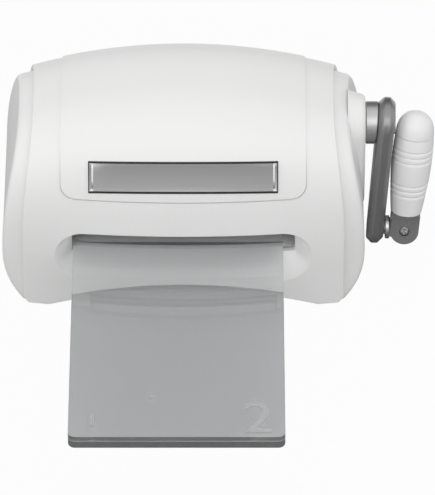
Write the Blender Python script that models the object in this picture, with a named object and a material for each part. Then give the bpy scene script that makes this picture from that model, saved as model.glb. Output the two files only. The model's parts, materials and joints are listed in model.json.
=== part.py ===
"""Hand-cranked die cutting machine with a folding crank and two clear plates between its rollers.

X runs to the operator's right, Y away from the operator and Z up. Everything is modelled round the
point on the bench that lies midway between the side frames and under the roller axes. The housing empty
then puts the origin on the bench in the middle of the machine, plates and handle counted. All sizes are
in metres.
"""
import math

import bmesh
import bpy
from mathutils import Vector

# Clearances shared by all pieces
GAP = 0.0003
RUNNING_GAP = 0.0004
OVERRUN = 0.004
MERGE_DISTANCE = 0.000003
SHARP_ANGLE = math.radians(32)
BEVEL_ANGLE = math.radians(50)
SIDE = {"left": -1, "right": 1}
END = {"front": -1, "rear": 1}

# Cutting plates
PLATE_WIDTH = 0.155
PLATE_LENGTH = 0.290
LOWER_PLATE_THICKNESS = 0.0065
UPPER_PLATE_THICKNESS = 0.0042
PLATE_CORNER_RADIUS = 0.005
PLATE_EDGE_BEVEL = 0.0004
PLATE_REACH = 0.277
PLATE_SHIFT = -0.0040

# Gear train and rollers
GEAR_MODULE = 0.002
PINION_TEETH = 14
ROLLER_GEAR_TEETH = 24
PRESSURE_ANGLE = math.radians(20)
ADDENDUM_SHARE = 0.92
DEDENDUM_SHARE = 1.25
BACKLASH = 0.00035
GEAR_WIDTH = 0.012
GEAR_BORE_STEPS = 12
JOURNAL_RADIUS = 0.006
ROLLER_SIDE_GAP = 0.002
ROLLER_EDGE_BEVEL = 0.0012
ROLLER_TAIL = 0.004
ROLLER_FLOOR_ROOM = 0.0078
ROLLER_STEPS = 24

# Side frames, tie rods and base
PLATE_SIDE_ROOM = 0.013
FRAME_THICKNESS = 0.003
FRAME_FLANGE = 0.014
FRAME_FOOT_HALF = 0.050
FRAME_FOOT_RISE = 0.028
FRAME_WAIST_HALF = 0.036
FRAME_WAIST_Z = 0.096
FRAME_TOP_HALF = 0.034
FRAME_TOP_DROP = 0.021
FRAME_CROWN_RISE = 0.006
FRAME_CROWN_HALF = 0.026
BUSH_WALL = 0.0022
BUSH_FLANGE = 0.0028
BUSH_FLANGE_THICKNESS = 0.0012
TIE_ROD_RADIUS = 0.004
TIE_ROD_NECK_RADIUS = 0.0028
TIE_ROD_HEAD_RADIUS = 0.005
TIE_ROD_HEAD_THICKNESS = 0.002
TIE_ROD_STEPS = 8
LOWER_ROD_Y = 0.042
LOWER_ROD_RISE = 0.0145
UPPER_ROD_Y = 0.022
UPPER_ROD_RISE = 0.0265
GEARBOX_PLATE_THICKNESS = 0.003
GEARBOX_SPACE = 0.019
GEARBOX_HALF_WIDTH = 0.032
GEARBOX_TOP_DROP = 0.0245
GEARBOX_CORNER = 0.010
SPACER_Y = 0.025
SPACER_RISE = 0.008
CLIP_RADIUS = 0.0088
CLIP_THICKNESS = 0.0012
FOOT_HEIGHT = 0.0025
FOOT_RADIUS = 0.008
FOOT_STEPS = 16
FOOT_SIDE_INSET = 0.021
FOOT_END_INSET = 0.014
BASE_THICKNESS = 0.003
BASE_SIDE_INSET = 0.012
BASE_END_INSET = 0.016
BASE_CORNER = 0.008
GEAR_WINDOW_MARGIN = 0.0008
GEAR_WINDOW_HALF = 0.014
TABLE_THICKNESS = 0.0025
TABLE_END_INSET = 0.020
TABLE_INNER_Y = 0.022
TABLE_FLANGE = 0.012

# Screws
SCREW_RADIUS = 0.0017
SCREW_HEAD_RADIUS = 0.0034
SCREW_HEAD_HEIGHT = 0.0018
SCREW_GRIP = 0.008
SCREW_STEPS = 6
FRAME_SCREW_INSET = 0.008
FRAME_SCREW_Y = 0.026
FRAME_SCREW_TIP = 0.0005

# Housing arch
CREST_RISE = 0.0435
HOUSING_DEPTH = 0.160
SHOULDER_Z = 0.041
ARCH_POWER = 3.0
CROWN_DEPTH_DROP = 0.0046
CROWN_HEIGHT_DROP = 0.0108
UNDERSIDE_RISE = 0.0215
UNDERSIDE_SIDE_INSET = 0.019
COVER_WALL = 0.0037
COVER_OVERHANG = 0.035
COVER_EDGE_TAPER = 0.0098
COVER_EDGE_TAPER_Z = 0.060
COVER_EDGE_TAPER_SPAN = 0.100
COVER_COLUMNS = 10
ARCH_STEPS = 18
WALL_STEPS = 2

# Side covers
SIDE_BULGE = 0.014
SIDE_WIDEST_Z = 0.055
SIDE_TOP_TAPER = 0.012
SIDE_TOP_SPAN = 0.100
SIDE_FOOT_TAPER = 0.020
SIDE_FOOT_POWER = 2.2
SIDE_WALL = 0.003
SIDE_CHAMFER = 0.0035
SIDE_LIP = 0.006
SIDE_BAND_MIN = 0.0015
HUB_PAD_RADIUS = 0.0235
HUB_PAD_TAPER = 0.0045
HUB_PAD_RISE = 0.0015
HUB_PAD_ROOT_DEPTH = 0.0095
HUB_PAD_DROP = 0.0515
HUB_PAD_STEPS = 13

# Screw posts inside the covers
POST_SIDE_INSET = 0.021
POST_END_INSET = 0.023
POST_HALF_WIDTH = 0.006
POST_HEIGHT = 0.016
POST_REACH = 0.006
SIDE_POST_INSET = 0.0155
SIDE_POST_END_INSET = 0.036
SIDE_POST_HALF = 0.005
SIDE_POST_HEIGHT = 0.010

# Top panel and nameplate
PANEL_SIDE_INSET = 0.029
PANEL_DROP = 0.055
PANEL_CORNER = 0.010
PANEL_PROUD = 0.0010
PANEL_SEAT_DEPTH = 0.0015
PANEL_GROOVE = 0.0009
NAMEPLATE_SIDE_MARGIN = 0.0213
NAMEPLATE_FOOT_MARGIN = 0.0080
NAMEPLATE_HEIGHT = 0.0210
NAMEPLATE_THICKNESS = 0.0018
NAMEPLATE_BEVEL = 0.0016
NAMEPLATE_COLUMNS = 12
NAMEPLATE_ROWS = 3
NAMEPLATE_FOLLOW_SHARE = 0.5

# Feed mouth in the front and rear of the cover
MOUTH_JAMB = 0.0016
MOUTH_SILL_DROP = 0.0004
MOUTH_HEIGHT = 0.0249
MOUTH_CORNER = 0.0015
SCOOP_FLARE = 0.0126
SCOOP_SILL = 0.0209
SCOOP_BROW = 0.0045
SCOOP_DEPTH = 0.010
SCOOP_LIP = 0.0006
SCOOP_MID_SHARE = 0.45
SCOOP_MID_CLOSE_SHARE = 0.62
MOUTH_PAD_DEPTH = 0.0135
MOUTH_PAD_MARGIN = 0.002
MOUTH_CORNER_STEPS = 4
MOUTH_SPLITS = 8

# Crank
CRANK_RADIUS = 0.0865
CRANK_REST_ANGLE = math.radians(-15)
SHAFT_TAIL = 0.004
COLLAR_RADIUS = 0.0155
COLLAR_LENGTH = 0.0085
COLLAR_STEPS = 24
SEAT_STEPS = 20
ARM_THICKNESS = 0.0124
ARM_LEAN = math.radians(5)
ARM_HUB_RADIUS = 0.019
ARM_TIP_RADIUS = 0.012
ARM_BEVEL = 0.0032
ARM_END_STEPS = 9
ARM_SCREW_RADIUS = 0.0025
ARM_SCREW_HEAD_RADIUS = 0.0085
ARM_SCREW_HEAD_HEIGHT = 0.0025
ARM_SCREW_REACH = 0.012

# Folding handle
PIN_RADIUS = 0.0045
PIN_COLLAR_RADIUS = 0.007
PIN_COLLAR_LENGTH = 0.0042
PIN_STEPS = 20
PIN_CLIP_RADIUS = 0.0072
PIN_CLIP_THICKNESS = 0.002
PIN_CLIP_DEPTH = 0.0035
TONGUE_HALF_THICKNESS = 0.004
TONGUE_RADIUS = 0.0095
TONGUE_NECK_HALF = 0.0065
FORK_HALF_WIDTH = 0.01025
FORK_HALF_DEPTH = 0.011
FORK_SLOT_TOP = 0.0105
FORK_TOP = 0.0135
FORK_END_STEPS = 10
FOLD_REST_LEAN = math.radians(5.5)
FOLD_SCREW_RADIUS = 0.003
FOLD_HEAD_RADIUS = 0.0046
FOLD_HEAD_HEIGHT = 0.0022
FOLD_HEAD_DEPTH = 0.0030
FOLD_DRIVE_WIDTH = 0.0012
FOLD_DRIVE_DEPTH = 0.0009
NUT_SIDES = 6
TANG_RADIUS = 0.004
GRIP_LENGTH = 0.084
GRIP_FOOT_RADIUS = 0.0110
GRIP_BELLY_RADIUS = 0.0136
GRIP_CAP_LENGTH = 0.018
GRIP_WELL_DEPTH = 0.014
GRIP_RING_DEPTH = 0.0008
GRIP_RING_WIDTH = 0.0011
GRIP_SCREW_RADIUS = 0.002
GRIP_SCREW_HEAD_RADIUS = 0.0045
GRIP_SCREW_HEAD_HEIGHT = 0.003
GRIP_SCREW_REACH = 0.012
GRIP_BELLY_SHARE = 0.80
GRIP_NECK_SHARE = 0.06
GRIP_PLAIN_SHARES = (0, 0.10, 0.40, 0.50, 0.88, 1)
GRIP_RING_SHARES = (0.19, 0.26, 0.33, 0.62, 0.69, 0.76)
GRIP_DOME_STEPS = 6
GRIP_DOME_POWER = 2.3
GRIP_STEPS = 16
CAP_PLUG_RADIUS = 0.007
CAP_PLUG_LENGTH = 0.004

# Sizes worked out from the driving ones: the gear train's heights
STACK_THICKNESS = LOWER_PLATE_THICKNESS + GAP + UPPER_PLATE_THICKNESS
ROLLER_SPACING = GEAR_MODULE * ROLLER_GEAR_TEETH
ROLLER_RADIUS = (ROLLER_SPACING - STACK_THICKNESS) / 2 - GAP
BASE_TOP_Z = FOOT_HEIGHT + BASE_THICKNESS
LOWER_AXIS_Z = BASE_TOP_Z + ROLLER_FLOOR_ROOM + ROLLER_RADIUS
BED_HEIGHT = LOWER_AXIS_Z + ROLLER_RADIUS + GAP
UPPER_AXIS_Z = LOWER_AXIS_Z + ROLLER_SPACING
CRANK_AXIS_Z = UPPER_AXIS_Z + GEAR_MODULE * (PINION_TEETH + ROLLER_GEAR_TEETH) / 2
HOUSING_HEIGHT = CRANK_AXIS_Z + CREST_RISE

# Widths, from the plates outward
FRAME_INNER_X = (PLATE_WIDTH + PLATE_SIDE_ROOM) / 2
FRAME_OUTER_X = FRAME_INNER_X + FRAME_THICKNESS
GEAR_INNER_X = FRAME_OUTER_X + BUSH_FLANGE_THICKNESS + 2 * RUNNING_GAP
GEAR_OUTER_X = GEAR_INNER_X + GEAR_WIDTH
GEARBOX_INNER_X = FRAME_OUTER_X + GEARBOX_SPACE
GEARBOX_OUTER_X = GEARBOX_INNER_X + GEARBOX_PLATE_THICKNESS
COVER_EDGE_HALF = FRAME_INNER_X + COVER_OVERHANG
SIDE_HALF = COVER_EDGE_HALF + SIDE_BULGE
PANEL_HALF = COVER_EDGE_HALF - PANEL_SIDE_INSET
CROWN_X = PANEL_HALF
UNDERSIDE_HALF = COVER_EDGE_HALF - UNDERSIDE_SIDE_INSET
NAMEPLATE_HALF = PANEL_HALF - NAMEPLATE_SIDE_MARGIN
MOUTH_HALF = FRAME_INNER_X - MOUTH_JAMB
SCOOP_HALF = MOUTH_HALF + SCOOP_FLARE
BASE_HALF_WIDTH = COVER_EDGE_HALF - BASE_SIDE_INSET
FOOT_X = BASE_HALF_WIDTH - FOOT_SIDE_INSET
POST_X = COVER_EDGE_HALF - POST_SIDE_INSET
SIDE_POST_X = COVER_EDGE_HALF - SIDE_POST_INSET
SIDE_POST_INNER_X = SIDE_POST_X - SIDE_POST_HALF
HUB_PAD_FACE_X = SIDE_HALF + HUB_PAD_RISE
HUB_PAD_ROOT_X = SIDE_HALF - HUB_PAD_ROOT_DEPTH

# Depths, from the housing inward
BASE_HALF_DEPTH = HOUSING_DEPTH / 2 - BASE_END_INSET
FOOT_Y = BASE_HALF_DEPTH - FOOT_END_INSET
TABLE_OUTER_Y = HOUSING_DEPTH / 2 - TABLE_END_INSET
POST_Y = HOUSING_DEPTH / 2 - POST_END_INSET
POST_INNER_Y = POST_Y - POST_REACH
SIDE_POST_Y = HOUSING_DEPTH / 2 - SIDE_POST_END_INSET

# Heights that follow the bed, the crest and the axes
FRAME_FOOT_Z = BASE_TOP_Z + GAP
FRAME_TOP_Z = HOUSING_HEIGHT - FRAME_TOP_DROP
FRAME_SHOULDER_Z = FRAME_TOP_Z - FRAME_CROWN_RISE
LOWER_ROD_Z = BASE_TOP_Z + LOWER_ROD_RISE
UPPER_ROD_Z = UPPER_AXIS_Z + UPPER_ROD_RISE
GEARBOX_HALF_HEIGHT = CREST_RISE - GEARBOX_TOP_DROP
HUB_PAD_LOW_Z = CRANK_AXIS_Z - HUB_PAD_DROP
PANEL_LOW_Z = HOUSING_HEIGHT - PANEL_DROP
NAMEPLATE_LOW_Z = PANEL_LOW_Z + NAMEPLATE_FOOT_MARGIN
NAMEPLATE_HIGH_Z = NAMEPLATE_LOW_Z + NAMEPLATE_HEIGHT
MOUTH_LOW_Z = BED_HEIGHT - MOUTH_SILL_DROP
MOUTH_HIGH_Z = MOUTH_LOW_Z + MOUTH_HEIGHT
SCOOP_LOW_Z = MOUTH_LOW_Z - SCOOP_SILL
SCOOP_HIGH_Z = MOUTH_HIGH_Z + SCOOP_BROW

# Crank and handle, outward from the hub pad
BUSH_RADIUS = JOURNAL_RADIUS + RUNNING_GAP + BUSH_WALL
STEP_INSET = COVER_WALL + GAP
COLLAR_INNER_X = HUB_PAD_FACE_X + GAP
COLLAR_OUTER_X = COLLAR_INNER_X + COLLAR_LENGTH
ARM_INNER_X = COLLAR_OUTER_X + GAP
ARM_OUTER_X = ARM_INNER_X + ARM_THICKNESS
ARM_DRIFT = CRANK_RADIUS * math.tan(ARM_LEAN)
TIP_INNER_X = ARM_INNER_X - ARM_DRIFT
TIP_OUTER_X = ARM_OUTER_X - ARM_DRIFT
PIN_COLLAR_X = TIP_OUTER_X + TONGUE_RADIUS * math.tan(ARM_LEAN) + GAP
FOLD_AXIS_X = PIN_COLLAR_X + PIN_COLLAR_LENGTH + 2 * GAP + FORK_HALF_WIDTH
GRIP_FOOT = FORK_TOP + GAP
TANG_LENGTH = GRIP_LENGTH - GRIP_CAP_LENGTH - GRIP_WELL_DEPTH

FINISHES = {
    "white_shell": ((0.86, 0.86, 0.86), 0.45, 0.0),
    "white_grip": ((0.85, 0.85, 0.85), 0.40, 0.0),
    "chrome": ((0.78, 0.78, 0.78), 0.12, 1.0),
    "grey_paint": ((0.17, 0.17, 0.175), 0.35, 0.3),
    "satin_steel": ((0.62, 0.62, 0.62), 0.32, 1.0),
    "gear_steel": ((0.45, 0.45, 0.46), 0.40, 1.0),
    "bronze": ((0.55, 0.40, 0.20), 0.45, 1.0),
    "zinc_sheet": ((0.55, 0.56, 0.58), 0.45, 1.0),
    "clear_plate": ((0.75, 0.77, 0.78), 0.08, 0.0),
    "black_rubber": ((0.02, 0.02, 0.02), 0.85, 0.0),
}


def clear_scene():
    for item in list(bpy.data.objects):
        bpy.data.objects.remove(item, do_unlink=True)


def finish_material(name):
    """The Principled material of that name, made the first time that it is asked for."""
    if name in bpy.data.materials:
        return bpy.data.materials[name]
    colour, roughness, metallic = FINISHES[name]
    material = bpy.data.materials.new(name)
    material.use_nodes = True
    shader = material.node_tree.nodes["Principled BSDF"]
    shader.inputs["Base Color"].default_value = (*colour, 1.0)
    shader.inputs["Roughness"].default_value = roughness
    shader.inputs["Metallic"].default_value = metallic
    material.diffuse_color = (*colour, 1.0)
    return material


def add_empty(name, place, parent=None, turn=(0, 0, 0)):
    """An empty that marks a joint's axis and carries what moves with it."""
    empty = bpy.data.objects.new(name, None)
    bpy.context.scene.collection.objects.link(empty)
    empty.location = place
    empty.rotation_euler = turn
    empty.parent = parent
    return empty


def add_piece(name, mesh_source, finish, parent=None, place=(0, 0, 0), smooth=True):
    """Object made from a bmesh, with its faces turned outward."""
    bmesh.ops.recalc_face_normals(mesh_source, faces=mesh_source.faces)
    mesh = bpy.data.meshes.new(name)
    mesh_source.to_mesh(mesh)
    mesh_source.free()
    if smooth:
        mesh.shade_smooth()
        mesh.set_sharp_from_angle(angle=SHARP_ANGLE)
    piece = bpy.data.objects.new(name, mesh)
    bpy.context.scene.collection.objects.link(piece)
    piece.location = place
    piece.parent = parent
    if finish:
        mesh.materials.append(finish_material(finish))
    return piece


def add_tool(name, mesh_source, parent, place=(0, 0, 0)):
    """A shape that only cuts or is joined to others, and isn't a piece itself."""
    tool = add_piece(name, mesh_source, None, parent, place, smooth=False)
    tool.hide_render = True
    tool.display_type = "WIRE"
    return tool


def apply_shape(piece, tool, operation):
    boolean = piece.modifiers.new(operation.lower() + "_" + tool.name, "BOOLEAN")
    boolean.operation = operation
    boolean.object = tool
    boolean.solver = "EXACT"


def cut(piece, *tools):
    for tool in tools:
        apply_shape(piece, tool, "DIFFERENCE")


def fuse(piece, *tools):
    for tool in tools:
        apply_shape(piece, tool, "UNION")


def box(low, high):
    """Closed box between two corners."""
    shape = bmesh.new()
    bmesh.ops.create_cube(shape, size=1.0)
    size = Vector(high) - Vector(low)
    middle = (Vector(high) + Vector(low)) / 2
    bmesh.ops.scale(shape, vec=size, verts=shape.verts)
    bmesh.ops.translate(shape, vec=middle, verts=shape.verts)
    return shape


def extrude(outline, start, end, axis="X"):
    """Closed outline of (across, up) points, drawn out along an axis from start to end.

    Across and up are Y and Z for an extrusion along X, X and Z along Y, and X and Y along Z.
    """
    place = {
        "X": lambda a, b: (start, a, b),
        "Y": lambda a, b: (a, start, b),
        "Z": lambda a, b: (a, b, start),
    }[axis]
    shape = bmesh.new()
    face = shape.faces.new([shape.verts.new(place(a, b)) for a, b in outline])
    grown = bmesh.ops.extrude_face_region(shape, geom=[face])
    reach = Vector([end - start if axis == name else 0 for name in "XYZ"])
    moved = [item for item in grown["geom"] if isinstance(item, bmesh.types.BMVert)]
    bmesh.ops.translate(shape, vec=reach, verts=moved)
    return shape


def turn_profile(profile, steps, axis="X", closed=False):
    """Profile of (along, radius) points spun round an axis through the origin.

    An open profile starts and ends on the axis. A closed one makes a ring.
    """
    shape = bmesh.new()
    place = {
        "X": lambda a, r: (a, 0, r),
        "Y": lambda a, r: (r, a, 0),
        "Z": lambda a, r: (r, 0, a),
    }[axis]
    points = [shape.verts.new(place(a, r)) for a, r in profile]
    links = list(zip(points, points[1:]))
    if closed:
        links.append((points[-1], points[0]))
    edges = [shape.edges.new(link) for link in links]
    direction = [1 if axis == name else 0 for name in "XYZ"]
    bmesh.ops.spin(shape, geom=points + edges, cent=(0, 0, 0), axis=direction, angle=math.tau,
                   steps=steps, use_merge=True, use_duplicate=False)
    bmesh.ops.remove_doubles(shape, verts=shape.verts, dist=MERGE_DISTANCE)
    return shape


def rod(start, end, radius, steps=16, axis="X"):
    """Plain round bar."""
    return turn_profile([(start, 0), (start, radius), (end, radius), (end, 0)], steps, axis)


def arc(centre, radius, first, last, steps):
    """Points along an arc, angles in degrees counted from the first axis."""
    angles = [math.radians(first + (last - first) * i / steps) for i in range(steps + 1)]
    return [(centre[0] + radius * math.cos(t), centre[1] + radius * math.sin(t)) for t in angles]


def rounded_rectangle(left, right, low, high, radius, steps, splits=1):
    """Outline of a rectangle with round corners, anticlockwise from its lower right corner.

    The splits divide its top and bottom, where the outline is bent to a curve afterwards.
    """
    corners = [(right - radius, low + radius, -90), (right - radius, high - radius, 0),
               (left + radius, high - radius, 90), (left + radius, low + radius, 180)]
    outline = []
    for across, up, first in corners:
        outline += arc((across, up), radius, first, first + 90, steps)
    inner = [left + radius + (right - left - 2 * radius) * i / splits for i in range(1, splits)]
    top = [(across, high) for across in reversed(inner)]
    bottom = [(across, low) for across in inner]
    half = 2 * (steps + 1)
    return outline[:half] + top + outline[half:] + bottom


def taper_link(centre_a, radius_a, centre_b, radius_b, steps):
    """Outline round two circles of unlike radius, one above the other, as on a crank arm."""
    distance = centre_a[1] - centre_b[1]
    slope = math.degrees(math.asin((radius_a - radius_b) / distance))
    upper = arc(centre_a, radius_a, -slope, 180 + slope, steps)
    lower = arc(centre_b, radius_b, 180 + slope, 360 - slope, steps)
    return upper + lower


def skin_between(outer, inner):
    """Closed body between two grids of points that have the same rows and columns."""
    shape = bmesh.new()
    rows, columns = len(outer), len(outer[0])
    grids = [[[shape.verts.new(point) for point in row] for row in grid] for grid in (outer, inner)]
    for grid in grids:
        for i in range(rows - 1):
            for j in range(columns - 1):
                shape.faces.new((grid[i][j], grid[i][j + 1], grid[i + 1][j + 1], grid[i + 1][j]))
    rim = [(i, 0) for i in range(rows)]
    rim += [(rows - 1, j) for j in range(1, columns)]
    rim += [(i, columns - 1) for i in range(rows - 2, -1, -1)]
    rim += [(0, j) for j in range(columns - 2, 0, -1)]
    for (i, j), (k, m) in zip(rim, rim[1:] + rim[:1]):
        shape.faces.new((grids[0][i][j], grids[0][k][m], grids[1][k][m], grids[1][i][j]))
    bmesh.ops.triangulate(shape, faces=shape.faces)
    return shape


def loft(rings):
    """Closed body through rings of points, with flat ends."""
    shape = bmesh.new()
    layers = [[shape.verts.new(point) for point in ring] for ring in rings]
    count = len(layers[0])
    for low, high in zip(layers, layers[1:]):
        for i in range(count):
            k = (i + 1) % count
            shape.faces.new((low[i], low[k], high[k], high[i]))
    shape.faces.new(layers[0])
    shape.faces.new(layers[-1])
    bmesh.ops.triangulate(shape, faces=shape.faces)
    return shape


# Housing arch

def crown_share(x):
    return (x / CROWN_X) ** 2


def arch_half_depth(x, inset):
    return HOUSING_DEPTH / 2 - CROWN_DEPTH_DROP * crown_share(x) - inset


def arch_rise(x, inset):
    return HOUSING_HEIGHT - SHOULDER_Z - CROWN_HEIGHT_DROP * crown_share(x) - inset


def arch_rows():
    """Rows of the arch from the front foot over the crest to the rear foot.

    A row is (side, climb, angle): the climb runs up the straight wall, and the angle over the arch.
    """
    front = [(-1, i / WALL_STEPS, None) for i in range(WALL_STEPS)]
    over = [(0, 1, math.pi * i / ARCH_STEPS) for i in range(ARCH_STEPS + 1)]
    rear = [(1, i / WALL_STEPS, None) for i in range(WALL_STEPS - 1, -1, -1)]
    return front + over + rear


def arch_point(x, row, inset, foot):
    """Point of the arch at x, moved in from its surface by the inset."""
    side, climb, angle = row
    if angle is None:
        return x, side * arch_half_depth(x, inset), foot + (SHOULDER_Z - foot) * climb
    lean = math.cos(angle)
    across = -math.copysign(abs(lean) ** (2 / ARCH_POWER), lean) * arch_half_depth(x, inset)
    if math.isclose(angle, math.pi / 2):
        across = 0.0
    return x, across, SHOULDER_Z + arch_rise(x, inset) * max(math.sin(angle), 0) ** (2 / ARCH_POWER)


def arch_front_y(x, z, inset):
    """Depth of the front surface at x and z."""
    if z <= SHOULDER_Z:
        return -arch_half_depth(x, inset)
    up_share = min((z - SHOULDER_Z) / arch_rise(x, inset), 1)
    return -arch_half_depth(x, inset) * (1 - up_share ** ARCH_POWER) ** (1 / ARCH_POWER)


def row_level(row):
    """Height that sets how wide the housing is at this row."""
    return arch_point(CROWN_X, row, 0, FOOT_HEIGHT)[2]


def side_reach(z):
    """Half width of the housing over its side walls."""
    if z > SIDE_WIDEST_Z:
        return SIDE_HALF - SIDE_TOP_TAPER * ((z - SIDE_WIDEST_Z) / SIDE_TOP_SPAN) ** 2
    return SIDE_HALF - SIDE_FOOT_TAPER * ((SIDE_WIDEST_Z - z) / SIDE_WIDEST_Z) ** SIDE_FOOT_POWER


def cover_reach(z):
    """Half width of the main cover, where it steps down to the side covers."""
    top = max(z - COVER_EDGE_TAPER_Z, 0) / COVER_EDGE_TAPER_SPAN
    plain = COVER_EDGE_HALF - COVER_EDGE_TAPER * top ** 2
    return min(plain, side_reach(z) - SIDE_CHAMFER - SIDE_BAND_MIN)


def underside(x):
    """Height of the main cover's lower edge, which arches up between its feet."""
    return FOOT_HEIGHT + UNDERSIDE_RISE * max(1 - (x / UNDERSIDE_HALF) ** 2, 0)


def arch_slab(half_width, outer_inset, inner_inset, foot, columns=COVER_COLUMNS):
    """Curved slab that follows the arch between two insets."""
    grids = []
    for inset in (outer_inset, inner_inset):
        grid = []
        for row in arch_rows():
            reach = half_width(row_level(row))
            across = [reach * (2 * j / columns - 1) for j in range(columns + 1)]
            grid.append([arch_point(x, row, inset, foot(x)) for x in across])
        grids.append(grid)
    return skin_between(*grids)


def mouth_ring(half, low, high, radius, depth, end):
    """Ring of the feed mouth at a depth behind the cover's curved face."""
    outline = rounded_rectangle(-half, half, low, high, radius, MOUTH_CORNER_STEPS, MOUTH_SPLITS)
    return [(x, -end * arch_front_y(x, z, depth), z) for x, z in outline]


def mouth_cutter(name, end, housing):
    """Scoop that narrows to the feed mouth and runs on through the wall behind it."""
    scoop_radius = (SCOOP_HIGH_Z - SCOOP_LOW_Z) / 2 - GAP
    scoop = (SCOOP_HALF, SCOOP_LOW_Z, SCOOP_HIGH_Z, scoop_radius)
    mouth = (MOUTH_HALF, MOUTH_LOW_Z, MOUTH_HIGH_Z, MOUTH_CORNER)
    middle = [a + (b - a) * SCOOP_MID_CLOSE_SHARE for a, b in zip(scoop, mouth)]
    lip = mouth_ring(*scoop, SCOOP_LIP, end)
    outside = [(x, end * (HOUSING_DEPTH / 2 + OVERRUN), z) for x, y, z in lip]
    rings = [outside, lip,
             mouth_ring(*middle, SCOOP_DEPTH * SCOOP_MID_SHARE, end),
             mouth_ring(*mouth, SCOOP_DEPTH, end),
             mouth_ring(*mouth, MOUTH_PAD_DEPTH + OVERRUN, end)]
    return add_tool(name, loft(rings), housing)


def mouth_pad(name, end, housing):
    """Thick wall behind the scoop, sunk into the cover's own wall."""
    low = SCOOP_LOW_Z - MOUTH_PAD_MARGIN
    high = SCOOP_HIGH_Z + MOUTH_PAD_MARGIN
    half = SCOOP_HALF + MOUTH_PAD_MARGIN
    columns = COVER_COLUMNS
    grids = []
    for inset in (COVER_WALL / 2, MOUTH_PAD_DEPTH):
        grid = []
        for z in (low, SHOULDER_Z, (SHOULDER_Z + high) / 2, high):
            across = [half * (2 * j / columns - 1) for j in range(columns + 1)]
            grid.append([(x, -end * arch_front_y(x, z, inset), z) for x in across])
        grids.append(grid)
    return add_tool(name, skin_between(*grids), housing)


def panel_prism(margin, name, housing):
    """Upright prism that trims the top panel, or its seat, to a round-cornered outline."""
    half = PANEL_HALF + margin
    low = PANEL_LOW_Z - margin
    high = HOUSING_HEIGHT + 2 * OVERRUN
    reach = HOUSING_DEPTH / 2 + 2 * OVERRUN
    corner = PANEL_CORNER + margin
    outline = [(half, high), (-half, high)]
    outline += arc((-half + corner, low + corner), corner, 180, 270, 6)
    outline += arc((half - corner, low + corner), corner, 270, 360, 6)
    return add_tool(name, extrude(outline, -reach, reach, "Y"), housing)


def make_main_cover(housing):
    shape = arch_slab(cover_reach, 0, COVER_WALL, underside)
    cover = add_piece("main_cover", shape, "white_shell", housing)
    slab = arch_slab(cover_reach, -OVERRUN, PANEL_SEAT_DEPTH, underside)
    seat = add_tool("cut_panel_seat", slab, housing)
    apply_shape(seat, panel_prism(PANEL_GROOVE, "trim_panel_seat", housing), "INTERSECT")
    for end_name, end in END.items():
        fuse(cover, mouth_pad("pad_mouth_" + end_name, end, housing))
    for end_name, end in END.items():
        for side_name, side in SIDE.items():
            where = end_name + "_" + side_name
            outer_y = arch_half_depth(POST_X, COVER_WALL / 2)
            edges = sorted((end * POST_INNER_Y, end * outer_y))
            low = (side * POST_X - POST_HALF_WIDTH, edges[0], BASE_TOP_Z + GAP)
            high = (side * POST_X + POST_HALF_WIDTH, edges[1], BASE_TOP_Z + GAP + POST_HEIGHT)
            fuse(cover, add_tool("post_" + where, box(low, high), housing))
    for end_name, end in END.items():
        cut(cover, mouth_cutter("cut_mouth_" + end_name, end, housing))
        for side_name, side in SIDE.items():
            hole = rod(FOOT_HEIGHT, screw_hole_top(), SCREW_RADIUS + GAP, SCREW_STEPS, "Z")
            cut(cover, add_tool("cut_post_" + end_name + "_" + side_name, hole, housing,
                                (side * POST_X, end * POST_Y, 0)))
    cut(cover, seat)


def screw_hole_top():
    return BASE_TOP_Z + SCREW_GRIP + GAP


def make_top_panel(housing):
    inner = PANEL_SEAT_DEPTH - GAP
    shape = arch_slab(lambda z: PANEL_HALF + OVERRUN, -PANEL_PROUD, inner, underside)
    panel = add_piece("top_panel", shape, "white_shell", housing)
    apply_shape(panel, panel_prism(0, "trim_top_panel", housing), "INTERSECT")


def make_nameplate(housing):
    """Bare chrome plate with bevelled edges, bent to the panel's crown."""
    grids = []
    back = -PANEL_PROUD - GAP
    for margin, inset in ((NAMEPLATE_BEVEL, back - NAMEPLATE_THICKNESS), (0, back)):
        half = NAMEPLATE_HALF - margin
        grid = []
        for i in range(NAMEPLATE_ROWS + 1):
            tall = NAMEPLATE_HIGH_Z - NAMEPLATE_LOW_Z - 2 * margin
            flat_z = NAMEPLATE_LOW_Z + margin + tall * i / NAMEPLATE_ROWS
            row = []
            for j in range(NAMEPLATE_COLUMNS + 1):
                x = half * (2 * j / NAMEPLATE_COLUMNS - 1)
                sink_share = 1 - arch_rise(x, 0) / arch_rise(0, 0)
                z = flat_z - (flat_z - SHOULDER_Z) * sink_share * NAMEPLATE_FOLLOW_SHARE
                row.append((x, arch_front_y(x, z, inset), z))
            grid.append(row)
        grids.append(grid)
    add_piece("nameplate", skin_between(*grids), "chrome", housing)


def side_skin(side, thickness):
    """One skin of a side cover: rows of lip, rim and wall-edge points, front foot to rear foot."""
    skin = []
    for row in arch_rows():
        level = row_level(row)
        wall_x = side_reach(level)
        lip = (cover_reach(level) - SIDE_LIP, STEP_INSET + thickness)
        rim = (wall_x - SIDE_CHAMFER - thickness / 2, STEP_INSET + thickness)
        edge = (wall_x - thickness, STEP_INSET + SIDE_CHAMFER + thickness / 2)
        points = [arch_point(x, row, inset, FOOT_HEIGHT) for x, inset in (lip, rim, edge)]
        skin.append([(side * x, y, z) for x, y, z in points])
    return skin


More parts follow.
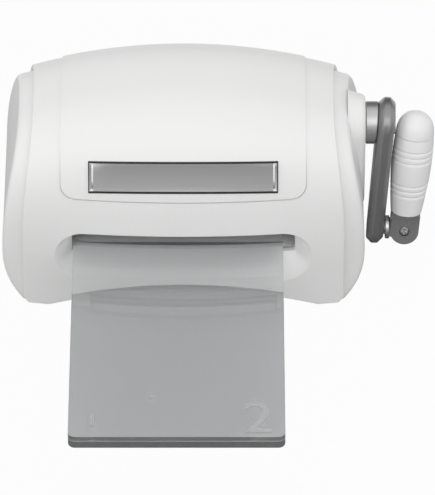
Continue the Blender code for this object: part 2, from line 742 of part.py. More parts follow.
def side_shell(side):
    """Bowl-shaped side cover: a band under the main cover's edge, a chamfered rim and an end wall."""
    shape = bmesh.new()
    skins = [[[shape.verts.new(point) for point in row] for row in side_skin(side, thickness)]
             for thickness in (0, SIDE_WALL)]
    count = len(skins[0])
    for skin in skins:
        for low, high in zip(skin, skin[1:]):
            for j in range(2):
                shape.faces.new((low[j], low[j + 1], high[j + 1], high[j]))
        for i in range(count // 2):
            front, above = skin[i][2], skin[i + 1][2]
            rear, rear_above = skin[count - 1 - i][2], skin[count - 2 - i][2]
            if above is rear_above:
                shape.faces.new((front, rear, above))
            else:
                shape.faces.new((front, rear, rear_above, above))
    outer, inner = skins
    for i in range(count - 1):
        shape.faces.new((outer[i][0], outer[i + 1][0], inner[i + 1][0], inner[i][0]))
    path = [(0, 0), (0, 1), (0, 2), (count - 1, 2), (count - 1, 1), (count - 1, 0)]
    for (i, j), (k, m) in zip(path, path[1:]):
        shape.faces.new((outer[i][j], outer[k][m], inner[k][m], inner[i][j]))
    bmesh.ops.triangulate(shape, faces=shape.faces)
    return shape


def make_side_cover(name, housing):
    side = SIDE[name]
    cover = add_piece(name + "_side_cover", side_shell(side), "white_shell", housing)
    for end_name, end in END.items():
        wall_x = side_reach(BASE_TOP_Z) - SIDE_WALL / 2
        across = sorted((side * SIDE_POST_INNER_X, side * wall_x))
        low = (across[0], end * SIDE_POST_Y - SIDE_POST_HALF, BASE_TOP_Z + GAP)
        high = (across[1], end * SIDE_POST_Y + SIDE_POST_HALF, BASE_TOP_Z + GAP + SIDE_POST_HEIGHT)
        fuse(cover, add_tool("side_post_" + end_name + "_" + name, box(low, high), housing))
    if name == "right":
        add_hub_pad(cover, housing)
    for end_name, end in END.items():
        hole = rod(FOOT_HEIGHT, screw_hole_top(), SCREW_RADIUS + GAP, SCREW_STEPS, "Z")
        cut(cover, add_tool("cut_side_post_" + end_name + "_" + name, hole, housing,
                            (side * SIDE_POST_X, end * SIDE_POST_Y, 0)))


def add_hub_pad(cover, housing):
    """Raised pad over the gear train, with the crank shaft's hole."""
    rings = []
    for x, radius in ((HUB_PAD_ROOT_X, HUB_PAD_RADIUS),
                      (HUB_PAD_FACE_X - HUB_PAD_TAPER / 2, HUB_PAD_RADIUS - HUB_PAD_TAPER / 2),
                      (HUB_PAD_FACE_X, HUB_PAD_RADIUS - HUB_PAD_TAPER)):
        outline = arc((0, CRANK_AXIS_Z), radius, 0, 180, HUB_PAD_STEPS)
        outline += arc((0, HUB_PAD_LOW_Z), radius, 180, 360, HUB_PAD_STEPS)
        rings.append([(x, y, z) for y, z in outline])
    fuse(cover, add_tool("pad_hub", loft(rings), housing))
    hole = rod(GEARBOX_OUTER_X, HUB_PAD_FACE_X + OVERRUN, JOURNAL_RADIUS + 2 * RUNNING_GAP, 20)
    cut(cover, add_tool("cut_hub_pad", hole, housing, (0, 0, CRANK_AXIS_Z)))


# Frames, base and fixed hardware

def frame_outline():
    half = [(FRAME_FOOT_HALF, FRAME_FOOT_Z), (FRAME_FOOT_HALF, FRAME_FOOT_Z + FRAME_FOOT_RISE),
            (FRAME_WAIST_HALF, FRAME_WAIST_Z), (FRAME_TOP_HALF, FRAME_SHOULDER_Z),
            (FRAME_CROWN_HALF, FRAME_TOP_Z)]
    return half + [(-y, z) for y, z in reversed(half)]


def make_frame(name, housing):
    """Pressed side frame with a flange that is screwed to the base."""
    side = SIDE[name]
    faces = sorted((side * FRAME_INNER_X, side * FRAME_OUTER_X))
    sheet = extrude(frame_outline(), *faces)
    frame = add_piece(name + "_frame", sheet, "zinc_sheet", housing, smooth=False)
    inner_edge = FRAME_INNER_X - FRAME_FLANGE
    across = sorted((side * inner_edge, side * (FRAME_INNER_X + FRAME_THICKNESS / 2)))
    flange = box((across[0], -FRAME_FOOT_HALF + GAP, FRAME_FOOT_Z),
                 (across[1], FRAME_FOOT_HALF - GAP, FRAME_FOOT_Z + FRAME_THICKNESS))
    fuse(frame, add_tool("flange_" + name, flange, housing))
    start, end = faces[0] - OVERRUN, faces[1] + OVERRUN
    bush_places = [("lower_" + name, LOWER_AXIS_Z), ("upper_" + name, UPPER_AXIS_Z)]
    rod_places = [("low_rod_" + name, LOWER_ROD_Y, LOWER_ROD_Z)]
    rod_places.append(("high_rod_" + name, UPPER_ROD_Y, UPPER_ROD_Z))
    if name == "right":
        bush_places.append(("crank_" + name, CRANK_AXIS_Z))
        rod_places.append(("spacer_" + name, SPACER_Y, CRANK_AXIS_Z + SPACER_RISE))
    for hole_name, z in bush_places:
        hole = rod(start, end, BUSH_RADIUS + GAP, GEAR_BORE_STEPS)
        cut(frame, add_tool("cut_" + hole_name, hole, housing, (0, 0, z)))
    for hole_name, y, z in rod_places:
        for end_name, end_side in END.items():
            hole = rod(start, end, TIE_ROD_NECK_RADIUS + GAP, TIE_ROD_STEPS)
            cut(frame, add_tool("cut_" + end_name + "_" + hole_name, hole, housing,
                                (0, end_side * y, z)))
    flange_top = FRAME_FOOT_Z + FRAME_THICKNESS
    for end_name, end_side in END.items():
        hole = rod(FOOT_HEIGHT, flange_top + OVERRUN, SCREW_RADIUS + GAP, SCREW_STEPS, "Z")
        cut(frame, add_tool("cut_flange_" + end_name + "_" + name, hole, housing,
                            (side * frame_screw_x(), end_side * FRAME_SCREW_Y, 0)))


def frame_screw_x():
    return FRAME_INNER_X - FRAME_SCREW_INSET


def riveted_bar(name, inner_x, outer_x, sheets, place, housing):
    """Shouldered bar between two sheets, with its necks through them and its ends upset as heads."""
    neck = TIE_ROD_NECK_RADIUS
    head = TIE_ROD_HEAD_RADIUS
    body = TIE_ROD_RADIUS
    left_out = inner_x - sheets[0] - GAP
    right_out = outer_x + sheets[1] + GAP
    left_end = left_out - TIE_ROD_HEAD_THICKNESS
    right_end = right_out + TIE_ROD_HEAD_THICKNESS
    profile = [(left_end, 0), (left_end, head), (left_out, head), (left_out, neck),
               (inner_x + GAP, neck), (inner_x + GAP, body), (outer_x - GAP, body), (outer_x - GAP, neck),
               (right_out, neck), (right_out, head), (right_end, head), (right_end, 0)]
    add_piece(name, turn_profile(profile, TIE_ROD_STEPS), "satin_steel", housing, place)


def make_tie_rods(housing):
    frames = (FRAME_THICKNESS, FRAME_THICKNESS)
    gearbox = (FRAME_THICKNESS, GEARBOX_PLATE_THICKNESS)
    spacer_z = CRANK_AXIS_Z + SPACER_RISE
    for end_name, end in END.items():
        riveted_bar("lower_tie_rod_" + end_name, -FRAME_INNER_X, FRAME_INNER_X, frames,
                    (0, end * LOWER_ROD_Y, LOWER_ROD_Z), housing)
        riveted_bar("upper_tie_rod_" + end_name, -FRAME_INNER_X, FRAME_INNER_X, frames,
                    (0, end * UPPER_ROD_Y, UPPER_ROD_Z), housing)
        riveted_bar("gearbox_spacer_" + end_name, FRAME_OUTER_X, GEARBOX_INNER_X, gearbox,
                    (0, end * SPACER_Y, spacer_z), housing)


def make_gearbox_plate(housing):
    """Outer plate that carries the crank shaft's second bush."""
    low, high = CRANK_AXIS_Z - GEARBOX_HALF_HEIGHT, CRANK_AXIS_Z + GEARBOX_HALF_HEIGHT
    outline = rounded_rectangle(-GEARBOX_HALF_WIDTH, GEARBOX_HALF_WIDTH, low, high, GEARBOX_CORNER, 3)
    sheet = extrude(outline, GEARBOX_INNER_X, GEARBOX_OUTER_X)
    plate = add_piece("gearbox_plate", sheet, "zinc_sheet", housing, smooth=False)
    start, end = GEARBOX_INNER_X - OVERRUN, GEARBOX_OUTER_X + OVERRUN
    bush_hole = rod(start, end, BUSH_RADIUS + GAP, GEAR_BORE_STEPS)
    cut(plate, add_tool("cut_gearbox_bush", bush_hole, housing, (0, 0, CRANK_AXIS_Z)))
    for end_name, side in END.items():
        hole = rod(start, end, TIE_ROD_NECK_RADIUS + GAP, TIE_ROD_STEPS)
        cut(plate, add_tool("cut_gearbox_spacer_" + end_name, hole, housing,
                            (0, side * SPACER_Y, CRANK_AXIS_Z + SPACER_RISE)))


def make_bush(name, side, sheet_inner_x, sheet_thickness, z, housing):
    """Flanged bearing bush through a sheet, with its flange on the inner side."""
    flange_x = sheet_inner_x - GAP
    outer_x = sheet_inner_x + sheet_thickness + BUSH_FLANGE_THICKNESS
    bore = JOURNAL_RADIUS + RUNNING_GAP
    flange = BUSH_RADIUS + BUSH_FLANGE
    profile = [(flange_x - BUSH_FLANGE_THICKNESS, bore), (flange_x - BUSH_FLANGE_THICKNESS, flange),
               (flange_x, flange), (flange_x, BUSH_RADIUS), (outer_x, BUSH_RADIUS), (outer_x, bore)]
    profile = [(side * x, radius) for x, radius in profile]
    add_piece(name, turn_profile(profile, GEAR_BORE_STEPS, closed=True), "bronze", housing, (0, 0, z))


def make_bushes(housing):
    for name, side in SIDE.items():
        make_bush("lower_bush_" + name, side, FRAME_INNER_X, FRAME_THICKNESS, LOWER_AXIS_Z, housing)
        make_bush("upper_bush_" + name, side, FRAME_INNER_X, FRAME_THICKNESS, UPPER_AXIS_Z, housing)
    make_bush("crank_bush_inner", 1, FRAME_INNER_X, FRAME_THICKNESS, CRANK_AXIS_Z, housing)
    make_bush("crank_bush_outer", 1, GEARBOX_INNER_X, GEARBOX_PLATE_THICKNESS, CRANK_AXIS_Z, housing)


def screw_places():
    """Where each screw goes through the base, and how high its tip reaches."""
    places = []
    for end_name, end in END.items():
        for name, side in SIDE.items():
            where = end_name + "_" + name
            tip = BASE_TOP_Z + SCREW_GRIP
            places.append(("cover_screw_" + where, side * POST_X, end * POST_Y, tip))
            places.append(("side_cover_screw_" + where, side * SIDE_POST_X, end * SIDE_POST_Y, tip))
            places.append(("frame_screw_" + where, side * frame_screw_x(), end * FRAME_SCREW_Y,
                           FRAME_FOOT_Z + FRAME_THICKNESS + FRAME_SCREW_TIP))
    return places


def make_base(housing):
    width, depth = BASE_HALF_WIDTH, BASE_HALF_DEPTH
    outline = rounded_rectangle(-width, width, -depth, depth, BASE_CORNER, 3)
    sheet = extrude(outline, FOOT_HEIGHT, BASE_TOP_Z, "Z")
    base = add_piece("base_plate", sheet, "zinc_sheet", housing, smooth=False)
    window = box((GEAR_INNER_X - GEAR_WINDOW_MARGIN, -GEAR_WINDOW_HALF, -OVERRUN),
                 (GEAR_OUTER_X + GEAR_WINDOW_MARGIN, GEAR_WINDOW_HALF, BASE_TOP_Z + OVERRUN))
    cut(base, add_tool("cut_gear_window", window, housing))
    for name, x, y, tip in screw_places():
        hole = rod(-OVERRUN, BASE_TOP_Z + OVERRUN, SCREW_RADIUS + GAP, SCREW_STEPS, "Z")
        cut(base, add_tool("cut_" + name, hole, housing, (x, y, 0)))
        head_top = FOOT_HEIGHT - GAP
        low = head_top - SCREW_HEAD_HEIGHT
        profile = [(low, 0), (low, SCREW_HEAD_RADIUS), (head_top, SCREW_HEAD_RADIUS),
                   (head_top, SCREW_RADIUS), (tip, SCREW_RADIUS), (tip, 0)]
        add_piece(name, turn_profile(profile, SCREW_STEPS, "Z"), "gear_steel", housing, (x, y, 0))
    for end_name, end in END.items():
        for name, side in SIDE.items():
            foot = rod(0, FOOT_HEIGHT - GAP, FOOT_RADIUS, FOOT_STEPS, "Z")
            add_piece("foot_" + end_name + "_" + name, foot, "black_rubber", housing,
                      (side * FOOT_X, end * FOOT_Y, 0))


def make_feed_tables(housing):
    """Folded sheet shelves that carry the plates between the mouth and the rollers."""
    half = FRAME_INNER_X - RUNNING_GAP
    inner = half - TABLE_THICKNESS
    top = BED_HEIGHT - GAP
    under = top - TABLE_THICKNESS
    low = top - TABLE_FLANGE
    outline = [(-half, low), (-inner, low), (-inner, under), (inner, under), (inner, low), (half, low),
               (half, top), (-half, top)]
    for name, end in END.items():
        reach = sorted((end * TABLE_INNER_Y, end * TABLE_OUTER_Y))
        sheet = extrude(outline, *reach, "Y")
        add_piece(name + "_feed_table", sheet, "zinc_sheet", housing, smooth=False)


# Gears and rollers

def involute(angle):
    return math.tan(angle) - angle


def gear_outline(teeth, first_tooth):
    """Outline of a spur gear, with the middle of one tooth at the given angle."""
    pitch = GEAR_MODULE * teeth / 2
    base = pitch * math.cos(PRESSURE_ANGLE)
    root = pitch - GEAR_MODULE * DEDENDUM_SHARE
    tip = pitch + GEAR_MODULE * ADDENDUM_SHARE
    half_pitch_angle = math.pi / (2 * teeth) - BACKLASH / (4 * pitch)
    flank = []
    for radius in (root, pitch, tip):
        pressure = math.acos(min(base / radius, 1))
        flank.append((radius, half_pitch_angle + involute(PRESSURE_ANGLE) - involute(pressure)))
    outline = []
    for i in range(teeth):
        middle = first_tooth + math.tau * i / teeth
        for radius, half in flank:
            outline.append((radius * math.cos(middle - half), radius * math.sin(middle - half)))
        for radius, half in reversed(flank):
            outline.append((radius * math.cos(middle + half), radius * math.sin(middle + half)))
    return outline


def make_gear(name, teeth, first_tooth, parent):
    blank = extrude(gear_outline(teeth, first_tooth), GEAR_INNER_X, GEAR_OUTER_X)
    gear = add_piece(name, blank, "gear_steel", parent, smooth=False)
    bore = rod(GEAR_INNER_X - OVERRUN, GEAR_OUTER_X + OVERRUN, JOURNAL_RADIUS + GAP, GEAR_BORE_STEPS)
    cut(gear, add_tool("cut_" + name, bore, parent))


def make_roller(name, axis, first_tooth):
    """Roller between its two shoulders, with its gear and the gear's clip on the right journal."""
    body_x = FRAME_INNER_X - ROLLER_SIDE_GAP
    left_end = -(FRAME_OUTER_X + ROLLER_TAIL)
    clip_x = GEAR_OUTER_X + GAP
    right_end = clip_x + CLIP_THICKNESS + GAP
    flat_x = body_x - ROLLER_EDGE_BEVEL
    edge = ROLLER_RADIUS - ROLLER_EDGE_BEVEL
    profile = [(left_end, 0), (left_end, JOURNAL_RADIUS), (-body_x, JOURNAL_RADIUS), (-body_x, edge),
               (-flat_x, ROLLER_RADIUS), (flat_x, ROLLER_RADIUS), (body_x, edge),
               (body_x, JOURNAL_RADIUS), (right_end, JOURNAL_RADIUS), (right_end, 0)]
    add_piece(name, turn_profile(profile, ROLLER_STEPS), "satin_steel", axis)
    make_gear(name + "_gear", ROLLER_GEAR_TEETH, first_tooth, axis)
    bore = JOURNAL_RADIUS + GAP
    clip_end = clip_x + CLIP_THICKNESS
    ring = [(clip_x, bore), (clip_x, CLIP_RADIUS), (clip_end, CLIP_RADIUS), (clip_end, bore)]
    add_piece(name + "_clip", turn_profile(ring, GEAR_BORE_STEPS, closed=True), "gear_steel", axis)


# Crank and folding handle

def make_crank(axis, arm_frame):
    screw_hole = ARM_SCREW_RADIUS + GAP
    inner_end = FRAME_INNER_X - BUSH_FLANGE_THICKNESS - SHAFT_TAIL
    outer_end = arm_screw_seat() - RUNNING_GAP
    bottom = outer_end - ARM_SCREW_REACH
    profile = [(inner_end, 0), (inner_end, JOURNAL_RADIUS), (outer_end, JOURNAL_RADIUS),
               (outer_end, screw_hole), (bottom, screw_hole), (bottom, 0)]
    add_piece("crank_shaft", turn_profile(profile, GEAR_BORE_STEPS), "satin_steel", axis)
    make_gear("crank_pinion", PINION_TEETH, -math.pi / 2, axis)
    make_collar(arm_frame)
    make_arm(arm_frame)
    head_x = arm_screw_seat() + GAP
    tip = bottom + GAP
    face = head_x + ARM_SCREW_HEAD_HEIGHT
    ease = ARM_SCREW_HEAD_HEIGHT / 2
    head = ARM_SCREW_HEAD_RADIUS
    screw = [(tip, 0), (tip, ARM_SCREW_RADIUS), (head_x, ARM_SCREW_RADIUS), (head_x, head),
             (face - ease, head), (face, head - ease), (face, 0)]
    add_piece("crank_arm_screw", turn_profile(screw, SEAT_STEPS), "satin_steel", axis)


def arm_screw_seat():
    """Flat that is cut square into the leaning arm for the screw's head."""
    return ARM_OUTER_X - (ARM_SCREW_HEAD_RADIUS + GAP) * math.tan(ARM_LEAN)


def lean_inward(corners):
    """Moves points to follow the arm's lean."""
    for corner in corners:
        corner.co.x += corner.co.z * math.tan(ARM_LEAN)


def make_collar(arm_frame):
    """Distance collar between the hub pad and the arm, its outer end cut to the arm's lean."""
    bore = JOURNAL_RADIUS + GAP
    profile = [(COLLAR_INNER_X, bore), (COLLAR_INNER_X, COLLAR_RADIUS), (COLLAR_OUTER_X, COLLAR_RADIUS),
               (COLLAR_OUTER_X, bore)]
    shape = turn_profile(profile, COLLAR_STEPS, closed=True)
    middle = (COLLAR_INNER_X + COLLAR_OUTER_X) / 2
    lean_inward([corner for corner in shape.verts if corner.co.x > middle])
    add_piece("crank_collar", shape, "satin_steel", arm_frame)


def make_arm(arm_frame):
    """Crank arm: a round-ended bar that narrows and leans inward towards its tip."""
    outline = taper_link((0, 0), ARM_HUB_RADIUS, (0, -CRANK_RADIUS), ARM_TIP_RADIUS, ARM_END_STEPS)
    shape = extrude(outline, ARM_INNER_X, ARM_OUTER_X)
    lean_inward(shape.verts)
    arm = add_piece("crank_arm", shape, "grey_paint", arm_frame)
    bevel = arm.modifiers.new("rounded_edges", "BEVEL")
    bevel.width = ARM_BEVEL
    bevel.segments = 2
    bevel.limit_method = "ANGLE"
    bevel.angle_limit = BEVEL_ANGLE
    reach = ARM_DRIFT + OVERRUN
    bore = rod(ARM_INNER_X - reach, ARM_OUTER_X + reach, JOURNAL_RADIUS + GAP, GEAR_BORE_STEPS)
    cut(arm, add_tool("cut_arm_hub", bore, arm_frame))
    seat = rod(arm_screw_seat(), ARM_OUTER_X + reach, ARM_SCREW_HEAD_RADIUS + GAP, SEAT_STEPS)
    cut(arm, add_tool("cut_arm_seat", seat, arm_frame))
    tip = (0, 0, -CRANK_RADIUS)
    hole = rod(TIP_INNER_X - OVERRUN, TIP_OUTER_X + OVERRUN, PIN_RADIUS + GAP, GEAR_BORE_STEPS)
    cut(arm, add_tool("cut_arm_tip", hole, arm_frame, tip))
    recess_end = TIP_INNER_X + PIN_CLIP_DEPTH
    recess = rod(TIP_INNER_X - OVERRUN, recess_end, PIN_CLIP_RADIUS + GAP, GEAR_BORE_STEPS)
    cut(arm, add_tool("cut_arm_clip", recess, arm_frame, tip))


def make_swivel(axis):
    """Pin that lets the handle turn in the arm's tip, with a flat tongue for the fold screw."""
    end = TIP_INNER_X + TONGUE_RADIUS * math.tan(ARM_LEAN) + GAP
    collar_end = PIN_COLLAR_X + PIN_COLLAR_LENGTH
    profile = [(end, 0), (end, PIN_RADIUS), (PIN_COLLAR_X, PIN_RADIUS),
               (PIN_COLLAR_X, PIN_COLLAR_RADIUS), (collar_end, PIN_COLLAR_RADIUS), (collar_end, 0)]
    pin = add_piece("swivel_pin", turn_profile(profile, PIN_STEPS), "satin_steel", axis)
    neck_x = PIN_COLLAR_X + PIN_COLLAR_LENGTH / 2
    outline = arc((FOLD_AXIS_X, 0), TONGUE_RADIUS, -135, 135, 14)
    outline += [(neck_x, TONGUE_NECK_HALF), (neck_x, -TONGUE_NECK_HALF)]
    tongue = extrude(outline, -TONGUE_HALF_THICKNESS, TONGUE_HALF_THICKNESS, "Y")
    fuse(pin, add_tool("tongue", tongue, axis))
    hole = rod(-FORK_HALF_DEPTH, FORK_HALF_DEPTH, FOLD_SCREW_RADIUS + GAP, GEAR_BORE_STEPS, "Y")
    cut(pin, add_tool("cut_tongue", hole, axis, (FOLD_AXIS_X, 0, 0)))
    clip_end = TIP_INNER_X + PIN_CLIP_DEPTH - GAP
    clip_start = clip_end - PIN_CLIP_THICKNESS
    bore = PIN_RADIUS + GAP
    ring = [(clip_start, bore), (clip_start, PIN_CLIP_RADIUS), (clip_end, PIN_CLIP_RADIUS),
            (clip_end, bore)]
    add_piece("swivel_clip", turn_profile(ring, GEAR_BORE_STEPS, closed=True), "gear_steel", axis)


def make_fork(axis):
    """Fork that straddles the tongue, with a tang up the middle of the grip."""
    outline = arc((0, 0), FORK_HALF_WIDTH, 180, 360, FORK_END_STEPS)
    outline += [(FORK_HALF_WIDTH, FORK_TOP), (-FORK_HALF_WIDTH, FORK_TOP)]
    block = extrude(outline, -FORK_HALF_DEPTH, FORK_HALF_DEPTH, "Y")
    fork = add_piece("handle_fork", block, "grey_paint", axis)
    tang_top = FORK_TOP + TANG_LENGTH
    tang = rod(FORK_SLOT_TOP + GAP, tang_top, TANG_RADIUS, GEAR_BORE_STEPS, "Z")
    fuse(fork, add_tool("tang", tang, axis))
    slot_half = TONGUE_HALF_THICKNESS + RUNNING_GAP
    wide = FORK_HALF_WIDTH + OVERRUN
    slot = box((-wide, -slot_half, -wide), (wide, slot_half, FORK_SLOT_TOP))
    cut(fork, add_tool("cut_fork", slot, axis))
    deep = FORK_HALF_DEPTH + OVERRUN
    hole = rod(-deep, deep, FOLD_SCREW_RADIUS + GAP, GEAR_BORE_STEPS, "Y")
    tools = [add_tool("cut_fold_hole", hole, axis)]
    for name, end in END.items():
        reach = sorted((end * (FORK_HALF_DEPTH - FOLD_HEAD_DEPTH), end * deep))
        recess = rod(*reach, FOLD_HEAD_RADIUS + GAP, GEAR_BORE_STEPS, "Y")
        tools.append(add_tool("cut_fold_head_" + name, recess, axis))
    for tool in tools:
        tool.rotation_euler.y = math.pi / GEAR_BORE_STEPS
        cut(fork, tool)
    hole_bottom = tang_top - GRIP_SCREW_REACH
    top_hole = rod(hole_bottom, tang_top + OVERRUN, GRIP_SCREW_RADIUS + GAP, SCREW_STEPS, "Z")
    cut(fork, add_tool("cut_tang", top_hole, axis))


def make_fold_screw(axis):
    """Cross-head screw and nut that clamp the fork round the tongue."""
    seat = FORK_HALF_DEPTH - FOLD_HEAD_DEPTH + GAP
    face = seat + FOLD_HEAD_HEIGHT
    tip = seat + FOLD_HEAD_HEIGHT - GAP
    profile = [(-face, 0), (-face, FOLD_HEAD_RADIUS), (-seat, FOLD_HEAD_RADIUS),
               (-seat, FOLD_SCREW_RADIUS), (tip, FOLD_SCREW_RADIUS), (tip, 0)]
    screw = add_piece("fold_screw", turn_profile(profile, GEAR_BORE_STEPS, "Y"), "satin_steel", axis)
    half = FOLD_DRIVE_WIDTH / 2
    reach = FOLD_HEAD_RADIUS - FOLD_DRIVE_WIDTH
    bottom = -face + FOLD_DRIVE_DEPTH
    upright = box((-half, -face - OVERRUN, -reach), (half, bottom, reach))
    across = box((-reach, -face - OVERRUN, -half), (reach, bottom, half))
    cut(screw, add_tool("cut_drive_upright", upright, axis), add_tool("cut_drive_across", across, axis))
    bore = (FOLD_SCREW_RADIUS + GAP) / math.cos(math.pi / NUT_SIDES)
    nut = [(seat, bore), (seat, FOLD_HEAD_RADIUS), (face, FOLD_HEAD_RADIUS), (face, bore)]
    add_piece("fold_nut", turn_profile(nut, NUT_SIDES, "Y", closed=True), "satin_steel", axis)


def grip_radius(share):
    """Radius of the grip's body along its length, foot to cap joint."""
    rise = math.sin(math.pi / 2 * min(share / GRIP_BELLY_SHARE, 1))
    fall = max(share - GRIP_BELLY_SHARE, 0) / (1 - GRIP_BELLY_SHARE)
    swell = GRIP_BELLY_RADIUS - GRIP_FOOT_RADIUS
    return GRIP_FOOT_RADIUS + swell * (rise - GRIP_NECK_SHARE * fall ** 2)


def grip_outline():
    """Outer profile of the grip's body, foot to cap joint, with its two groups of ring grooves."""
    body_length = GRIP_LENGTH - GRIP_CAP_LENGTH
    outer = []
    for share in sorted(GRIP_PLAIN_SHARES + GRIP_RING_SHARES):
        z = GRIP_FOOT + body_length * share
        radius = grip_radius(share)
        if share in GRIP_RING_SHARES:
            outer.append((z - GRIP_RING_WIDTH, radius))
            outer.append((z, radius - GRIP_RING_DEPTH))
            outer.append((z + GRIP_RING_WIDTH, radius))
        else:
            outer.append((z, radius))
    return outer


def cap_outline():
    """Outer profile of the grip's domed cap, from its joint to its tip."""
    start = GRIP_FOOT + GRIP_LENGTH - GRIP_CAP_LENGTH + GAP
    dome = []
    for i in range(GRIP_DOME_STEPS):
        angle = math.pi / 2 * i / GRIP_DOME_STEPS
        across = math.cos(angle) ** (2 / GRIP_DOME_POWER)
        up = math.sin(angle) ** (2 / GRIP_DOME_POWER)
        dome.append((start + (GRIP_CAP_LENGTH - GAP) * up, grip_radius(1) * across))
    return dome + [(start + GRIP_CAP_LENGTH - GAP, 0)]


def make_grip(axis):
    """Hollow grip, the screw that holds it on the fork's tang, and the cap over the screw."""
    top = GRIP_FOOT + GRIP_LENGTH - GRIP_CAP_LENGTH
    bore = TANG_RADIUS + GAP
    web_low = FORK_TOP + TANG_LENGTH + GAP
    web_high = web_low + GRIP_SCREW_HEAD_HEIGHT
    well = CAP_PLUG_RADIUS + GAP
    screw_hole = GRIP_SCREW_RADIUS + GAP
    inner = [(top, well), (web_high, well), (web_high, screw_hole), (web_low, screw_hole),
             (web_low, bore), (GRIP_FOOT, bore)]
    grip = turn_profile(grip_outline() + inner, GRIP_STEPS, "Z", closed=True)
    add_piece("handle_grip", grip, "white_grip", axis)
    head = web_high + GAP
    face = head + GRIP_SCREW_HEAD_HEIGHT
    tip = FORK_TOP + TANG_LENGTH - GRIP_SCREW_REACH + GAP
    screw = [(tip, 0), (tip, GRIP_SCREW_RADIUS), (head, GRIP_SCREW_RADIUS),
             (head, GRIP_SCREW_HEAD_RADIUS), (face, GRIP_SCREW_HEAD_RADIUS), (face, 0)]
    add_piece("grip_screw", turn_profile(screw, SCREW_STEPS, "Z"), "satin_steel", axis)
    plug = top + GAP - CAP_PLUG_LENGTH
    cap = [(plug, 0), (plug, CAP_PLUG_RADIUS), (top + GAP, CAP_PLUG_RADIUS)] + cap_outline()
    add_piece("grip_cap", turn_profile(cap, GRIP_STEPS, "Z"), "white_grip", axis)


def make_cutting_plates(feed):
    """Clear plates that carry the die and the card through the rollers."""
    thicknesses = {"lower": LOWER_PLATE_THICKNESS, "upper": UPPER_PLATE_THICKNESS}
    bottom = BED_HEIGHT
    half = PLATE_WIDTH / 2
    outline = rounded_rectangle(-half, half, 0, PLATE_LENGTH, PLATE_CORNER_RADIUS, 5)
    for name, thickness in thicknesses.items():
        shape = extrude(outline, bottom, bottom + thickness, "Z")
        plate = add_piece(name + "_cutting_plate", shape, "clear_plate", feed)
        bevel = plate.modifiers.new("eased_edges", "BEVEL")
        bevel.width = PLATE_EDGE_BEVEL
        bevel.segments = 1
        bevel.limit_method = "ANGLE"
        bevel.angle_limit = BEVEL_ANGLE
        bottom += thickness + GAP


def machine_middle():
    """Middle of the whole machine on the bench, counted from midway between the side frames."""
    outline = grip_outline() + cap_outline()
    lean = FOLD_REST_LEAN
    right = FOLD_AXIS_X + max(z * math.sin(lean) + radius * math.cos(lean) for z, radius in outline)
    left = -max(side_reach(row_level(row)) for row in arch_rows())
    return (left + right) / 2, (HOUSING_DEPTH / 2 - PLATE_REACH) / 2


def build():
    clear_scene()
    middle_x, middle_y = machine_middle()
    housing = add_empty("housing", (-middle_x, -middle_y, 0))
    make_main_cover(housing)
    make_top_panel(housing)
    make_nameplate(housing)
    for name in SIDE:
        make_side_cover(name, housing)
        make_frame(name, housing)
    make_base(housing)
    make_tie_rods(housing)
    make_gearbox_plate(housing)
    make_bushes(housing)
    make_feed_tables(housing)
    upper_axis = add_empty("upper_roller_axis", (0, 0, UPPER_AXIS_Z), housing)
    lower_axis = add_empty("lower_roller_axis", (0, 0, LOWER_AXIS_Z), housing)
    half_tooth = math.pi / ROLLER_GEAR_TEETH
    make_roller("upper_roller", upper_axis, math.pi / 2 + half_tooth)
    make_roller("lower_roller", lower_axis, math.pi / 2)
    crank_axis = add_empty("crank_axis", (0, 0, CRANK_AXIS_Z), housing)
    arm_frame = add_empty("arm_frame", (0, 0, 0), crank_axis, (CRANK_REST_ANGLE, 0, 0))
    make_crank(crank_axis, arm_frame)
    swivel_axis = add_empty("swivel_axis", (0, 0, -CRANK_RADIUS), arm_frame)
    make_swivel(swivel_axis)
    fold_axis = add_empty("fold_axis", (FOLD_AXIS_X, 0, 0), swivel_axis, (0, FOLD_REST_LEAN, 0))
    make_fork(fold_axis)
    make_fold_screw(fold_axis)
    make_grip(fold_axis)
    feed = add_empty("feed", (PLATE_SHIFT, -PLATE_REACH, 0), housing)
    make_cutting_plates(feed)


build()
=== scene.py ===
"""Looks of a hand-cranked die cutting machine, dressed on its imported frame.

X runs to the operator's right, Y away from the operator and Z up, in metres. The shells are worked out
round the middle of the housing on the bench, and are then moved to where the frame has it.
"""
import json
import math

import bmesh
import bpy
from bpy.props import FloatProperty, FloatVectorProperty, PointerProperty, StringProperty
from mathutils import Matrix, Vector


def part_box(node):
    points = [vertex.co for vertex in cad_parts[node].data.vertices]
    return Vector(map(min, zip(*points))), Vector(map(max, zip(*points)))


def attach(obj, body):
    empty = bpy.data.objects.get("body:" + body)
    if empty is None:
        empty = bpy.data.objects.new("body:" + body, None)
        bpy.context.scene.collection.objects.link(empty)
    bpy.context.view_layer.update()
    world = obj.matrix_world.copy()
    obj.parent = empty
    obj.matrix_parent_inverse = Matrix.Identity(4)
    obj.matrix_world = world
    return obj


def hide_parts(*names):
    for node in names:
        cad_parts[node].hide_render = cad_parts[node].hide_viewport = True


bl_info = {
    "name": "Die Cutting Machine",
    "version": (1, 0, 0),
    "blender": (4, 5, 0),
    "location": "View3D > Sidebar > Die Cutter",
    "description": "Builds the finished look of a hand-cranked die cutting machine on its packed frame",
    "category": "Object",
}

